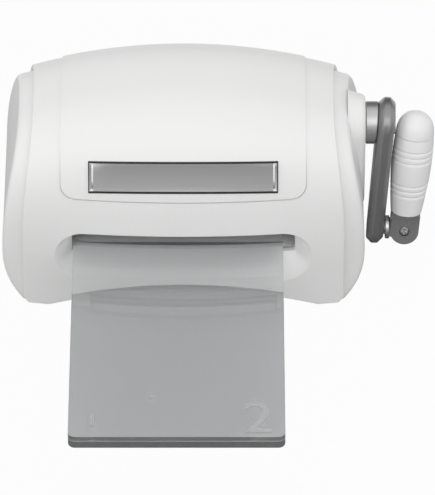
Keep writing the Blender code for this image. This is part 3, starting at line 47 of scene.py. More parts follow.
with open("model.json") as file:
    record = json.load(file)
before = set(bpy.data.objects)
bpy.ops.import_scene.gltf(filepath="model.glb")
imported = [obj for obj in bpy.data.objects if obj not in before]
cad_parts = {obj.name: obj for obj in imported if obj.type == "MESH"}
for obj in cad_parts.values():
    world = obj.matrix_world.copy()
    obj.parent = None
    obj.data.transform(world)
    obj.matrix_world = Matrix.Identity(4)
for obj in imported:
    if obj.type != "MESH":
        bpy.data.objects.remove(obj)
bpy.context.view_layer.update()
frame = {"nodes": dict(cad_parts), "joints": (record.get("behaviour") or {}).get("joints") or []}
COVER_LOW, COVER_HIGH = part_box("main_cover")
HOUSING = Vector(((COVER_LOW.x + COVER_HIGH.x) / 2, (COVER_LOW.y + COVER_HIGH.y) / 2, 0))
PANEL_LOW, PANEL_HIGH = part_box("top_panel")
ENDS = {"front": -1, "rear": 1}
SIDES = {"left": -1, "right": 1}
CREASE = math.radians(11)
FINE_CREASE = math.radians(30)
FLAT_CREASE = math.radians(3)
CORNER = math.radians(50)
MERGE = 0.000002
OVERRUN = 0.004
GAP = 0.0003
WHITE = (1.0, 1.0, 1.0)
PHOTO_HEIGHT_PX = 495
SENSOR = 36.0


def joint_named(name):
    return next(joint for joint in frame["joints"] if joint["name"] == name)


# Sizes and colours that a user would change

def number(name, default, note, **more):
    return FloatProperty(name=name, description=note, default=default, **more)


def length(name, default, note):
    return number(name, default, note, min=0.0, unit="LENGTH", precision=5)


def angle(name, degrees, note):
    return number(name, math.radians(degrees), note, subtype="ANGLE")


def share(name, default, note, least=0.0):
    return number(name, default, note, min=least, max=1.0, subtype="FACTOR")


def tint(name, default, note):
    return FloatVectorProperty(name=name, description=note, default=default, min=0.0, max=1.0, size=3,
                               subtype="COLOR")


class ShellSizes(bpy.types.PropertyGroup):
    """Sizes of the barrel-shaped housing."""
    depth: length("Depth", COVER_HIGH.y - COVER_LOW.y, "Front wall to rear wall at the middle")
    height: length("Height", PANEL_HIGH.z - 0.0010, "Bench to the cover's crest")
    shoulder: length("Shoulder", 0.041, "Height at which the upright walls turn into the arch")
    power: number("Arch Power", 3.0, "Squareness of the arch", min=2.0)
    crown_half: length("Crown Half", 0.090, "Half width at which the crown's drops are measured")
    crown_depth_drop: length("Crown Depth Drop", 0.0046, "How far the front falls back at the crown's half")
    crown_height_drop: length("Crown Height Drop", 0.0108, "How far the crest falls at the crown's half")
    wall: length("Wall", 0.0037, "Thickness of the main cover")
    edge_half: length("Edge Half", 0.119, "Half width of the main cover at its widest")
    edge_taper: length("Edge Taper", 0.0098, "How much narrower the main cover is at the crest")
    edge_taper_from: length("Taper From", 0.060, "Height at which the main cover starts to narrow")
    taper_span: length("Taper Span", 0.100, "Height over which the tapers are measured")
    edge_round: length("Edge Round", 0.0011, "Radius of the main cover's rims")
    underside_rise: length("Underside Rise", 0.0195, "Rise of the arched lower edge between the feet")
    underside_half: length("Underside Half", 0.100, "Half width of the arched lower edge")
    foot: length("Foot", 0.0025, "Height of the cover's feet over the bench")


class EndSizes(bpy.types.PropertyGroup):
    """Sizes of the two end shells and of the hub pad."""
    half: length("Half Width", 0.1342, "Middle of the machine to the end wall at its widest")
    widest: length("Widest Height", 0.047, "Height at which the end walls stand out most")
    top_taper: length("Top Taper", 0.0114, "How far the end walls lean in at the top")
    foot_taper: length("Foot Taper", 0.0155, "How far the end walls curl in at the foot")
    foot_power: number("Foot Power", 2.4, "Roundness of the foot's curl", min=1.0)
    wall: length("Wall", 0.003, "Thickness of the end shells")
    step: length("Step", 0.0040, "How far the end shells lie below the main cover")
    chamfer: length("Chamfer", 0.0035, "Width of the rounded rim")
    band: length("Band", 0.0015, "Least width of the band beside the main cover")
    lip: length("Lip", 0.006, "How far the end shells run in under the main cover")
    pad_radius: length("Pad Radius", 0.0235, "Radius of the hub pad's round ends")
    pad_taper: length("Pad Taper", 0.0045, "Slope at the hub pad's rim")
    pad_rise: length("Pad Rise", 0.0003, "Height of the hub pad over the end wall")
    pad_drop: length("Pad Drop", 0.0515, "Crank axis down to the pad's lower centre")
    pad_root: length("Pad Root", 0.0128, "How deep the hub pad runs into the wall")
    pad_flare: length("Pad Flare", 0.0010, "How much wider the hub pad is where it leaves the wall")
    bore: length("Bore", 0.0068, "Radius of the crank shaft's hole")


class MouthSizes(bpy.types.PropertyGroup):
    """Sizes of the feed mouths and the scoops round them."""
    half: length("Mouth Half", 0.0824, "Half width of the mouth")
    low: length("Mouth Low", 0.0496, "Height of the mouth's sill")
    high: length("Mouth High", 0.0715, "Height of the mouth's top edge")
    corner: length("Mouth Corner", 0.0015, "Corner radius of the mouth")
    scoop_half: length("Scoop Half", 0.095, "Half width of the scoop")
    scoop_low: length("Scoop Low", 0.0287, "Height of the scoop's lower rim")
    scoop_high: length("Scoop High", 0.0750, "Height of the scoop's upper rim")
    scoop_depth: length("Scoop Depth", 0.010, "Depth of the scoop at the mouth")
    pad_depth: length("Pad Depth", 0.0135, "Depth of the thick wall behind the scoop")
    pad_margin: length("Pad Margin", 0.002, "How far the thick wall reaches past the scoop")
    slope_share: share("Slope Share", 0.5, "Share of the scoop's depth that falls evenly", 0.1)


class PanelSizes(bpy.types.PropertyGroup):
    """Sizes of the raised top panel and the nameplate."""
    half: length("Half Width", 0.0900, "Half width of the panel")
    low: length("Lower Edge", PANEL_LOW.z, "Height of the panel's lower edge")
    corner: length("Corner", 0.010, "Radius of the panel's lower corners")
    proud: length("Proud", 0.0010, "Height of the panel over the cover")
    seat: length("Seat Depth", 0.0015, "Depth of the panel's seat in the cover")
    groove: length("Groove", 0.0009, "Width of the groove round the panel")
    edge_round: length("Edge Round", 0.0005, "Radius of the panel's rim")
    plate_half: length("Nameplate Half", 0.0687, "Half width of the nameplate")
    plate_low: length("Nameplate Low", 0.1162, "Height of the nameplate's lower edge")
    plate_high: length("Nameplate High", 0.1358, "Height of the nameplate's upper edge")
    plate_thickness: length("Nameplate Thickness", 0.0018, "Thickness of the nameplate")
    plate_bevel: length("Nameplate Bevel", 0.0017, "Width of the slope at each end of the nameplate")
    plate_slope: length("Nameplate Slope", 0.0006, "Depth of the slope at each end of the nameplate")
    # The dark seat is a black sheet behind the nameplate: painted shade beside it and a painted shadow
    # below it
    painted_shadow_side: length("Nameplate Seat Sides", 0.0008, "How far the dark seat shows beside the nameplate")
    painted_shadow_below: length("Nameplate Seat Foot", 0.0031, "How far the dark seat reaches below the nameplate")
    plate_follow: share("Follow", 0.5, "Share of the crown that the nameplate follows")


class CrankSizes(bpy.types.PropertyGroup):
    """Sizes of the crank arm, its collar and its screw."""
    radius: length("Crank Radius", 0.0865, "Crank axis to the swivel pin")
    rest_angle: angle("Rest Angle", -15, "Turn of the arm from straight down")
    lean: angle("Lean", 4.35, "How far the arm leans in towards its tip")
    collar_radius: length("Collar Radius", 0.0158, "Radius of the collar on the hub pad")
    collar_length: length("Collar Length", 0.0083, "Length of the collar")
    thickness: length("Arm Thickness", 0.0124, "Thickness of the arm")
    hub_radius: length("Hub Radius", 0.019, "Radius of the arm's hub end")
    tip_radius: length("Tip Radius", 0.012, "Radius of the arm's tip")
    edge: length("Arm Chamfer", 0.0040, "Width of the chamfers along the arm")
    edge_ease: length("Chamfer Ease", 0.0006, "Radius of the chamfers' own edges")
    head_radius: length("Head Radius", 0.0085, "Radius of the arm screw's head")
    head_height: length("Head Height", 0.0016, "Height of the arm screw's head")
    journal: length("Journal", 0.006, "Radius of the crank shaft")


class HandleSizes(bpy.types.PropertyGroup):
    """Sizes of the swivel pin, the fork and the grip."""
    pin_radius: length("Pin Radius", 0.0045, "Radius of the swivel pin")
    pin_collar: length("Pin Collar", 0.0088, "Radius of the swivel pin's collar")
    pin_collar_length: length("Pin Collar Length", 0.0032, "Length of the swivel pin's collar")
    tongue_half: length("Tongue Half", 0.004, "Half thickness of the pin's tongue")
    tongue_radius: length("Tongue Radius", 0.0095, "Radius of the tongue's round end")
    fork_half: length("Fork Half", 0.0106, "Half width of the fork")
    fork_depth: length("Fork Depth", 0.0082, "Half depth of the fork, front cheek to rear cheek")
    fork_slot_top: length("Slot Top", 0.0105, "Height of the fork's slot over the fold axis")
    fork_top: length("Fork Top", 0.0135, "Height of the fork's shoulder over the fold axis")
    fork_edge: length("Fork Edge", 0.0018, "Radius of the fork's edges")
    fold_lean: angle("Fold Lean", 5, "Lean of the grip beside the arm")
    screw_head: length("Screw Head", 0.0034, "Radius of the fold screw's head")
    screw_sink: length("Screw Sink", 0.0030, "Depth of the screw head's counterbore")
    shank: length("Screw Shank", 0.0022, "Radius of the fold screw's shank")
    tang_room: length("Tang Room", 0.014, "Top of the fork's tang to the cap")
    screw_height: length("Screw Height", 0.0022, "Height of the fold screw's head")
    grip_length: length("Grip Length", 0.0815, "Length of the grip with its cap")
    cap_length: length("Cap Length", 0.018, "Length of the domed cap")
    foot_radius: length("Grip Foot", 0.0115, "Radius of the grip at the fork")
    belly_radius: length("Grip Belly", 0.0151, "Greatest radius of the grip")
    ring_depth: length("Ring Depth", 0.0009, "Depth of the ring grooves")
    ring_width: length("Ring Width", 0.0013, "Half width of a ring groove")


class PlateSizes(bpy.types.PropertyGroup):
    """Sizes of the clear cutting plates and their moulded numerals."""
    corner: length("Corner", 0.005, "Corner radius of the plates")
    edge: length("Edge", 0.0005, "Radius of the plates' eased edges")
    relief: length("Numeral Relief", 0.00025, "Relief of the moulded numerals")
    left_height: length("Left Numeral Height", 0.016, "Height of the small numeral at the front left")
    right_height: length("Right Numeral Height", 0.033, "Height of the large numeral at the front right")
    left_inset: length("Left Numeral Inset", 0.017, "Plate's left edge to the small numeral's middle")
    right_inset: length("Right Numeral Inset", 0.019, "Plate's right edge to the large numeral's middle")
    left_margin: length("Left Numeral Margin", 0.0105, "Plate's front edge to the small numeral's foot")
    right_margin: length("Right Numeral Margin", 0.0045, "Plate's front edge to the large numeral's foot")
    left_numeral: StringProperty(name="Left Numeral", description="Numeral at the front left", default="1")
    right_numeral: StringProperty(name="Right Numeral", description="Numeral at the front right",
                                  default="2")
    gate_radius: length("Gate Mark Radius", 0.0016, "Radius of the moulding's gate mark")
    gate_x: length("Gate Mark Inset", 0.059, "Plate's left edge to the gate mark")
    gate_y: length("Gate Mark Margin", 0.041, "Plate's front edge to the gate mark")


class MachineColours(bpy.types.PropertyGroup):
    """Colours of the finishes."""
    shell: tint("Shell", (0.86, 0.86, 0.855), "Moulded white of the housing")
    grip: tint("Grip", (0.86, 0.86, 0.86), "Moulded white of the grip")
    chrome: tint("Chrome", (0.80, 0.80, 0.80), "Nameplate")
    lever: tint("Lever", (0.27, 0.27, 0.275), "Cast arm and fork")
    steel: tint("Steel", (0.52, 0.52, 0.52), "Turned steel")
    gears: tint("Gears", (0.42, 0.42, 0.43), "Cut steel of the gears and screws")
    bronze: tint("Bronze", (0.52, 0.36, 0.17), "Sintered bushes")
    sheet: tint("Sheet", (0.60, 0.61, 0.63), "Zinc plated sheet")
    clear: tint("Clear", (0.90, 0.905, 0.91), "Tint of the clear plates")
    rubber: tint("Rubber", (0.025, 0.025, 0.026), "Feet")
    floor: tint("Floor", (0.37, 0.37, 0.37), "Bench under the machine")


class StudioSettings(bpy.types.PropertyGroup):
    """Camera and lamps."""
    aim: FloatVectorProperty(name="Aim", description="Point at the middle of the picture", size=3,
                             default=(-0.0015, 0.0185, 0.0649), subtype="TRANSLATION", unit="LENGTH")
    elevation: angle("Elevation", 42, "Camera's height angle over the bench")
    distance: length("Distance", 4.144, "Camera to the aim point")
    lens_px: number("Focal Length in Pixels", 5626.0, "Focal length in pixels of the photograph", min=100.0)
    sky: number("Sky", 0.775, "Strength of the even light from all round", min=0.0)
    key: number("Key", 14.5, "Power of the overhead softbox", min=0.0, unit="POWER")
    fill: number("Fill", 8.0, "Power of the left softbox, twice the right one's", min=0.0, unit="POWER")
    white: share("White", 0.97, "Share of the bench that is plain white to the eye")
    through: share("Through Plates", 0.12, "Share of that white left in the shade of the plates")
    card: tint("Cards", (0.10, 0.10, 0.10), "Cards that the metal reflects")


GROUPS = {
    "machine_shell": ShellSizes, "machine_ends": EndSizes, "machine_mouth": MouthSizes,
    "machine_panel": PanelSizes, "machine_crank": CrankSizes, "machine_handle": HandleSizes,
    "machine_plates": PlateSizes, "machine_colours": MachineColours, "machine_studio": StudioSettings,
}


# Sums on shader sockets

def plug(tree, slot, value):
    """Links a wire to a socket, or sets the socket to a number, colour or vector."""
    if isinstance(value, Wire):
        tree.links.new(value.socket, slot)
    elif isinstance(value, (tuple, list)) and len(value) == 3 and slot.type == "RGBA":
        slot.default_value = (*value, 1.0)
    else:
        slot.default_value = value


class Wire:
    """An output socket that does sums: an expression on wires adds its Math nodes."""

    def __init__(self, tree, socket):
        self.tree = tree
        self.socket = socket

    def sum(self, operation, first, second=0.0):
        node = self.tree.nodes.new("ShaderNodeMath")
        node.operation = operation
        plug(self.tree, node.inputs[0], first)
        plug(self.tree, node.inputs[1], second)
        return Wire(self.tree, node.outputs[0])

    def __add__(self, other):
        return self.sum("ADD", self, other)

    def __rsub__(self, other):
        return self.sum("SUBTRACT", other, self)

    def __mul__(self, other):
        return self.sum("MULTIPLY", self, other)

    def capped(self, other):
        return self.sum("MINIMUM", self, other)

    __radd__ = __add__
    __rmul__ = __mul__


class Finish:
    """A material in the making, with one method for any node."""

    def __init__(self, name):
        self.material = bpy.data.materials.new(name)
        self.material.use_nodes = True
        self.tree = self.material.node_tree
        self.shader = self.tree.nodes["Principled BSDF"]
        self.place = self.node("ShaderNodeTexCoord", {}, {}, "Object")

    def node(self, kind, settings, values, output=0):
        """Adds a node of a type, sets its settings, then the values or links of its sockets."""
        made = self.tree.nodes.new(kind)
        for name, value in settings.items():
            if name == "stops":
                for i, (position, shade) in enumerate(value):
                    stop = made.color_ramp.elements[i] if i < 2 else made.color_ramp.elements.new(position)
                    stop.position = position
                    stop.color = (shade, shade, shade, 1.0)
            else:
                setattr(made, name, value)
        for name, value in values.items():
            plug(self.tree, made.inputs[name], value)
        return Wire(self.tree, made.outputs[output])

    def stretched(self, *scale):
        """Object coordinates, scaled unevenly."""
        return self.node("ShaderNodeMapping", {"vector_type": "TEXTURE"},
                         {"Vector": self.place, "Scale": tuple(1 / s for s in scale)})

    def noise(self, scale, detail=2.0, roughness=0.5, vector=None):
        return self.node("ShaderNodeTexNoise", {}, {"Vector": vector or self.place, "Scale": scale,
                                                    "Detail": detail, "Roughness": roughness}, "Fac")

    def ramp(self, wire, stops):
        return self.node("ShaderNodeValToRGB", {"stops": stops}, {"Fac": wire}, "Color")

    def blend(self, share, first, second):
        """Mixes two colours."""
        node = self.tree.nodes.new("ShaderNodeMix")
        node.data_type = "RGBA"
        for index, value in ((0, share), (6, first), (7, second)):
            plug(self.tree, node.inputs[index], value)
        return Wire(self.tree, node.outputs[2])

    def relief(self, height, distance, strength=1.0, under=None):
        values = {"Height": height, "Distance": distance, "Strength": strength}
        return self.node("ShaderNodeBump", {}, values | ({"Normal": under} if under else {}), "Normal")

    def set(self, **values):
        """Sets or links the shader's own sockets, whose names have spaces for underscores."""
        for name, value in values.items():
            plug(self.tree, self.shader.inputs[name.replace("_", " ")], value)
        return self.material


def shade(colour, factor):
    return tuple(min(channel * factor, 1.0) for channel in colour)


# Finishes

def moulded_white(name, colour, roughness, grain):
    """Satin moulded plastic: a fine spark-eroded grain, faint flow marks and a slightly uneven sheen."""
    finish = Finish(name)
    texture = finish.noise(grain, 3.0, 0.6)
    flow = finish.noise(9.0, 4.0, 0.6, finish.stretched(1.0, 0.35, 2.2))
    specks = finish.ramp(finish.noise(grain / 3, 1.0), [(0.30, 0.0), (0.42, 1.0)])
    body = finish.blend(flow, shade(colour, 0.985), shade(colour, 1.012))
    skin = finish.relief(texture, 0.00002, 0.35)
    uneven = finish.noise(26.0, 3.0)
    return finish.set(Base_Color=finish.blend(specks, shade(colour, 0.985), body),
                      Roughness=roughness - 0.04 + uneven * 0.08, Specular_IOR_Level=0.5,
                      Normal=finish.relief(flow, 0.00012, 0.25, skin))


def bright_chrome(name, colour):
    """Bright plate with a faint wave from the stamping and a few fine wipe marks."""
    finish = Finish(name)
    wave = finish.noise(38.0, 2.0, 0.5, finish.stretched(1.0, 1.0, 0.5))
    wipes = finish.noise(900.0, 2.0, 0.6, finish.stretched(0.04, 1.0, 1.0))
    return finish.set(Base_Color=finish.blend(wipes, shade(colour, 0.97), shade(colour, 1.03)),
                      Metallic=1.0, Roughness=0.10 + wipes * 0.06, Normal=finish.relief(wave, 0.00006, 0.5))


def cast_grey(name, colour):
    """Semi-gloss metallic paint on a casting: fine flake, a trace of orange peel and paler worn edges."""
    finish = Finish(name)
    flake = finish.node("ShaderNodeTexVoronoi", {}, {"Vector": finish.place, "Scale": 5200.0}, "Color")
    peel = finish.noise(650.0, 2.0)
    soil = finish.noise(60.0, 4.0, 0.65)
    grey = finish.blend(finish.node("ShaderNodeRGBToBW", {}, {"Color": flake}), shade(colour, 0.86),
                        shade(colour, 1.14))
    edge = finish.node("ShaderNodeNewGeometry", {}, {}, "Pointiness")
    worn = finish.ramp(edge, [(0.52, 0.0), (0.60, 1.0)])
    return finish.set(Base_Color=finish.blend(worn * 0.4, grey, shade(colour, 1.7)), Metallic=0.75,
                      Roughness=0.30 + soil * 0.12, Coat_Weight=0.35, Coat_Roughness=0.18,
                      Normal=finish.relief(peel, 0.00003, 0.4))


def turned_steel(name, colour, roughness, axis=(0.02, 1.0, 1.0), ring_scale=2600.0):
    """Turned or drawn metal: fine rings or lines one way and a few dull patches."""
    finish = Finish(name)
    lines = finish.noise(ring_scale, 2.0, 0.7, finish.stretched(*axis))
    patches = finish.noise(70.0, 3.0)
    return finish.set(Base_Color=finish.blend(lines, shade(colour, 0.88), shade(colour, 1.10)),
                      Metallic=1.0, Roughness=roughness + lines * 0.10 + patches * 0.08,
                      Normal=finish.relief(lines, 0.000012, 0.5))


def polished_steel(name, colour):
    """Turned steel, a little paler and smoother."""
    return turned_steel(name, shade(colour, 1.1), 0.28)


def zinc_plate(name, colour):
    """Zinc plated sheet: a faint spangle, rolling lines and dull fingermarks."""
    finish = Finish(name)
    spangle = finish.node("ShaderNodeTexVoronoi", {}, {"Vector": finish.place, "Scale": 240.0}, "Color")
    tone = finish.node("ShaderNodeRGBToBW", {}, {"Color": spangle})
    rolling = finish.noise(1500.0, 2.0, 0.6, finish.stretched(1.0, 0.03, 1.0))
    marks = finish.noise(35.0, 4.0, 0.6)
    return finish.set(Base_Color=finish.blend(tone * 0.6 + rolling * 0.4, shade(colour, 0.90),
                                              shade(colour, 1.08)),
                      Metallic=0.9, Roughness=0.34 + tone * 0.10 + marks * 0.12,
                      Normal=finish.relief(rolling, 0.00001, 0.5))


def sintered_bronze(name, colour):
    """Porous sintered bearing metal with oil-dark pores."""
    finish = Finish(name)
    pores = finish.ramp(finish.noise(2400.0, 2.0), [(0.38, 0.0), (0.50, 1.0)])
    return finish.set(Base_Color=finish.blend(pores, shade(colour, 0.45), colour), Metallic=0.9,
                      Roughness=0.42 + finish.noise(90.0) * 0.15, Normal=finish.relief(pores, 0.00004, 0.6))


def soft_rubber(name, colour):
    """Matt rubber with a moulded grain and a dusty bloom."""
    finish = Finish(name)
    grain = finish.noise(1600.0, 3.0)
    dust = finish.noise(120.0, 4.0, 0.7)
    return finish.set(Base_Color=finish.blend(dust * 0.5, colour, shade(colour, 2.2)), Roughness=0.86,
                      Normal=finish.relief(grain, 0.00006, 0.5))


def clear_acrylic(name, colour, roughness):
    """Clear polished sheet, scuffed by card and dies, with frosted numerals."""
    finish = Finish(name)
    scuffs = finish.ramp(finish.noise(420.0, 5.0, 0.7, finish.stretched(1.0, 0.12, 1.0)),
                         [(0.55, 0.0), (0.75, 1.0)])
    haze = finish.noise(14.0, 3.0)
    frost = finish.node("ShaderNodeAttribute", {"attribute_name": "frost"}, {}, "Fac")
    return finish.set(Base_Color=finish.blend(frost, colour, WHITE), Transmission_Weight=0.94, IOR=1.49,
                      Roughness=roughness + haze * 0.006 + scuffs * 0.02 + frost * 0.3,
                      Normal=finish.relief(scuffs, 0.000004, 0.2))


def machine_finish(name):
    """The finish of that name, made the first time that it is asked for."""
    if name in bpy.data.materials:
        return bpy.data.materials[name]
    maker, tone, *rest = FINISHES[name]
    return maker(name, getattr(bpy.context.scene.machine_colours, tone)[:], *rest)


FINISHES = {
    "satin_white_shell": (moulded_white, "shell", 0.44, 2600.0),
    "satin_white_grip": (moulded_white, "grip", 0.38, 3400.0),
    "bright_chrome_plate": (bright_chrome, "chrome"),
    "cast_grey_lever": (cast_grey, "lever"),
    "turned_steel_bar": (turned_steel, "steel", 0.34),
    "polished_steel_pin": (polished_steel, "steel"),
    "cut_steel_gear": (turned_steel, "gears", 0.36, (1.0, 1.0, 1.0), 900.0),
    "sintered_bronze_bush": (sintered_bronze, "bronze"),
    "zinc_plated_sheet": (zinc_plate, "sheet"),
    "clear_acrylic_sheet": (clear_acrylic, "clear", 0.005),
    # Black rubber of the feet, also used for the black sheet painted as the nameplate's shadow
    "black_rubber_foot": (soft_rubber, "rubber"),
}

CORNERS = [f"{end}_{side}" for end in ENDS for side in SIDES]
CAD_FINISHES = {
    "turned_steel_bar": ["upper_roller", "lower_roller", "crank_shaft", "grip_screw",
                         *(f"{name}_{end}" for name in ("lower_tie_rod", "upper_tie_rod", "gearbox_spacer")
                           for end in ENDS)],
    "cut_steel_gear": ["upper_roller_gear", "lower_roller_gear", "crank_pinion", "upper_roller_clip",
                       "lower_roller_clip", "swivel_clip",
                       *(f"{name}_{corner}" for name in ("cover_screw", "side_cover_screw", "frame_screw")
                         for corner in CORNERS)],
    "sintered_bronze_bush": ["crank_bush_inner", "crank_bush_outer",
                             *(f"{name}_{side}" for name in ("lower_bush", "upper_bush")
                               for side in SIDES)],
    "zinc_plated_sheet": ["base_plate", "left_frame", "right_frame", "gearbox_plate"],
    "satin_white_shell": ["front_feed_table", "rear_feed_table"],
    "black_rubber_foot": ["foot_" + corner for corner in CORNERS],
}


# Shaping

def meshed(name, shape):
    """Mesh made from a bmesh, which is used up."""
    mesh = bpy.data.meshes.new(name)
    shape.to_mesh(mesh)
    shape.free()
    return mesh


def linked(name, data):
    """New object in the scene."""
    made = bpy.data.objects.new(name, data)
    bpy.context.scene.collection.objects.link(made)
    return made


def add_piece(name, shape, finish, nodes, body, crease=CREASE, place=None):
    """Object made from a bmesh: it stands for the nodes, rides on the body and takes the slot's finish."""
    if place is not None:
        shape.transform(place)
    if not shape.faces:
        raise RuntimeError(name + " came out empty")
    mesh = meshed(name, shape)
    mesh.shade_smooth()
    mesh.set_sharp_from_angle(angle=crease)
    mesh.materials.append(machine_finish(finish))
    piece = linked(name, mesh)
    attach(piece, body)
    if nodes:
        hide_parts(*nodes)
    return piece


def shaped_grid(columns, rows, place):
    """Sheet of faces whose points lie where place says, for an across and an along share of 0 to 1."""
    shape = bmesh.new()
    bmesh.ops.create_grid(shape, x_segments=columns, y_segments=rows, size=1.0)
    for corner in shape.verts:
        corner.co = place((corner.co.x + 1) / 2, (corner.co.y + 1) / 2)
    bmesh.ops.remove_doubles(shape, verts=shape.verts, dist=MERGE)
    bmesh.ops.recalc_face_normals(shape, faces=shape.faces)
    return shape


def thicken(shape, wall, towards):
    """Gives an open sheet, turned so that it looks towards a direction on the whole, a wall behind it."""
    total = sum((face.normal * face.calc_area() for face in shape.faces), Vector())
    if total.dot(Vector(towards)) < 0:
        bmesh.ops.reverse_faces(shape, faces=shape.faces)
    bmesh.ops.solidify(shape, geom=shape.faces[:], thickness=wall)
    return shape


def bevel(shape, edges, width, segments):
    """Rounds the given edges."""
    bmesh.ops.bevel(shape, geom=edges, offset=width, offset_type="OFFSET", segments=segments, profile=0.5,
                    affect="EDGES", material=-1, clamp_overlap=True)


def round_edges(shape, width, segments=3, least=CORNER):
    """Rounds the edges that are sharper than an angle."""
    shape.normal_update()
    bevel(shape, [edge for edge in shape.edges if edge.is_manifold and edge.calc_face_angle(0) > least],
          width, segments)


def combine(shape, tool, operation):
    """The shape with the tool cut from it (DIFFERENCE) or joined to it (UNION)."""
    holders = []
    for part in (shape, tool):
        bmesh.ops.recalc_face_normals(part, faces=part.faces)
        holders.append(linked("combining", meshed("combining", part)))
    modifier = holders[0].modifiers.new("combining", "BOOLEAN")
    modifier.operation = operation
    modifier.solver = "MANIFOLD"
    modifier.object = holders[1]
    result = bmesh.new()
    result.from_object(holders[0], bpy.context.evaluated_depsgraph_get())
    for holder in holders:
        mesh = holder.data
        bpy.data.objects.remove(holder)
        bpy.data.meshes.remove(mesh)
    if not result.faces:
        raise RuntimeError("a " + operation.lower() + " left nothing")
    return result


def cut(shape, *tools):
    """The shape with each tool cut from it in turn."""
    for tool in tools:
        shape = combine(shape, tool, "DIFFERENCE")
    return shape


def join(shape, *tools):
    """The shape with each tool joined to it in turn."""
    for tool in tools:
        shape = combine(shape, tool, "UNION")
    return shape


def moved(shape, x=0, y=0, z=0):
    shape.transform(Matrix.Translation((x, y, z)))
    return shape


def ringed_body(rings):
    """Closed body through rings that all have the same number of points."""
    shape = bmesh.new()
    first = bmesh.ops.create_circle(shape, cap_ends=True, segments=len(rings[0]), radius=1.0)["verts"]
    order = {corner: i for i, corner in enumerate(first)}
    for corner, i in order.items():
        corner.co = rings[0][i]
    edges = shape.edges[:]
    for ring in rings[1:]:
        grown = bmesh.ops.extrude_edge_only(shape, edges=edges)["geom"]
        above = {}
        for corner in (item for item in grown if isinstance(item, bmesh.types.BMVert)):
            below = next(edge.other_vert(corner) for edge in corner.link_edges
                         if edge.other_vert(corner) in order)
            above[corner] = order[below]
        for corner, i in above.items():
            corner.co = ring[i]
        order = above
        edges = [item for item in grown if isinstance(item, bmesh.types.BMEdge)
                 and all(corner in above for corner in item.verts)]
    bmesh.ops.edgeloop_fill(shape, edges=edges)
    bmesh.ops.recalc_face_normals(shape, faces=shape.faces)
    return shape


def spun_body(profile, steps, axis="X", closed=False):
    """Profile of (along, radius) points spun round an axis through the origin."""
    shape = bmesh.new()
    place = {"X": lambda a, r: (a, 0, r), "Y": lambda a, r: (r, a, 0), "Z": lambda a, r: (r, 0, a)}[axis]
    points = [shape.verts.new(place(a, r)) for a, r in profile]
    links = list(zip(points, points[1:]))
    if closed:
        links.append((points[-1], points[0]))
    edges = [shape.edges.new(link) for link in links]
    direction = [1 if axis == name else 0 for name in "XYZ"]
    bmesh.ops.spin(shape, geom=points + edges, cent=(0, 0, 0), axis=direction, angle=math.tau, steps=steps,
                   use_merge=True, use_duplicate=False)
    bmesh.ops.remove_doubles(shape, verts=shape.verts, dist=MERGE)
    bmesh.ops.recalc_face_normals(shape, faces=shape.faces)
    return shape


def bar(start, end, radius, steps=64, axis="X"):
    """Plain round bar, as a cutter."""
    return spun_body([(start, 0), (start, radius), (end, radius), (end, 0)], steps, axis)


def block(low, high):
    """Closed block between two corners."""
    shape = bmesh.new()
    bmesh.ops.create_cube(shape, size=1.0)
    bmesh.ops.scale(shape, vec=Vector(high) - Vector(low), verts=shape.verts)
    bmesh.ops.translate(shape, vec=(Vector(high) + Vector(low)) / 2, verts=shape.verts)
    return shape


def flatten(shape):
    """Dissolves the edges inside flat faces."""
    bmesh.ops.dissolve_limit(shape, angle_limit=math.radians(1), verts=shape.verts, edges=shape.edges)


def linked_discs(discs, start, end, axis="X", steps=72):
    """Bar of even thickness whose outline is drawn tight round discs of (across, up, radius)."""
    shape = bmesh.new()
    turn = {"X": Matrix.Rotation(math.pi / 2, 4, "Y"), "Y": Matrix.Rotation(math.pi / 2, 4, "X")}[axis]
    for across, up, radius in discs:
        for along in (start, end):
            centre = (along, across, up) if axis == "X" else (across, along, up)
            bmesh.ops.create_circle(shape, segments=steps, radius=radius,
                                    matrix=Matrix.Translation(centre) @ turn)
    hull = bmesh.ops.convex_hull(shape, input=shape.verts)
    loose = {item for item in hull["geom_interior"] + hull["geom_unused"]
             if isinstance(item, bmesh.types.BMVert)}
    bmesh.ops.delete(shape, geom=list(loose), context="VERTS")
    stray = [edge for edge in shape.edges if not edge.link_faces]
    bmesh.ops.delete(shape, geom=stray, context="EDGES")
    flatten(shape)
    bmesh.ops.recalc_face_normals(shape, faces=shape.faces)
    return shape


def arc(centre, radius, first, last, steps):
    """Points along an arc, angles in degrees counted from the first axis."""
    angles = [math.radians(first + (last - first) * i / steps) for i in range(steps + 1)]
    return [(centre[0] + radius * math.cos(t), centre[1] + radius * math.sin(t)) for t in angles]


def rounded_ring(half, low, high, radius, steps, splits):
    """Outline of a round-cornered opening, with its top and bottom divided to follow a curve."""
    corners = [(half - radius, low + radius, -90), (half - radius, high - radius, 0),
               (radius - half, high - radius, 90), (radius - half, low + radius, 180)]
    outline = []
    for i, (across, up, first) in enumerate(corners):
        outline += arc((across, up), radius, first, first + 90, steps)
        if i % 2:
            reach = half - radius
            level, way = (high, -1) if i == 1 else (low, 1)
            outline += [(way * reach * (2 * k / splits - 1), level) for k in range(1, splits)]
    return outline


# Housing

ALONG_STEPS = 150
WALL_SHARE = 0.13
BAND_SHARE, RIM_SHARE = 0.16, 0.34
MOUTH_RINGS, MOUTH_LIP_SHARE, MOUTH_CORNER_STEPS, MOUTH_SPLITS = 9, -0.06, 14, 40
POST_X, POST_HALF, POST_INNER, POST_FOOT, POST_HEIGHT = 0.098, 0.006, 0.051, 0.0058, 0.016
# Thickness of the black sheet that is painted shadow behind the nameplate
PAINTED_SHADOW_THICKNESS = GAP * 0.8
# How far the hub pad's rim lies back and inward, as shares of its taper
PAD_RIM = ((0.5, 0.5), (0.2, 0.75), (0.05, 0.92), (0, 1.15))
HOUSING_PLACE = Matrix.Translation(HOUSING)


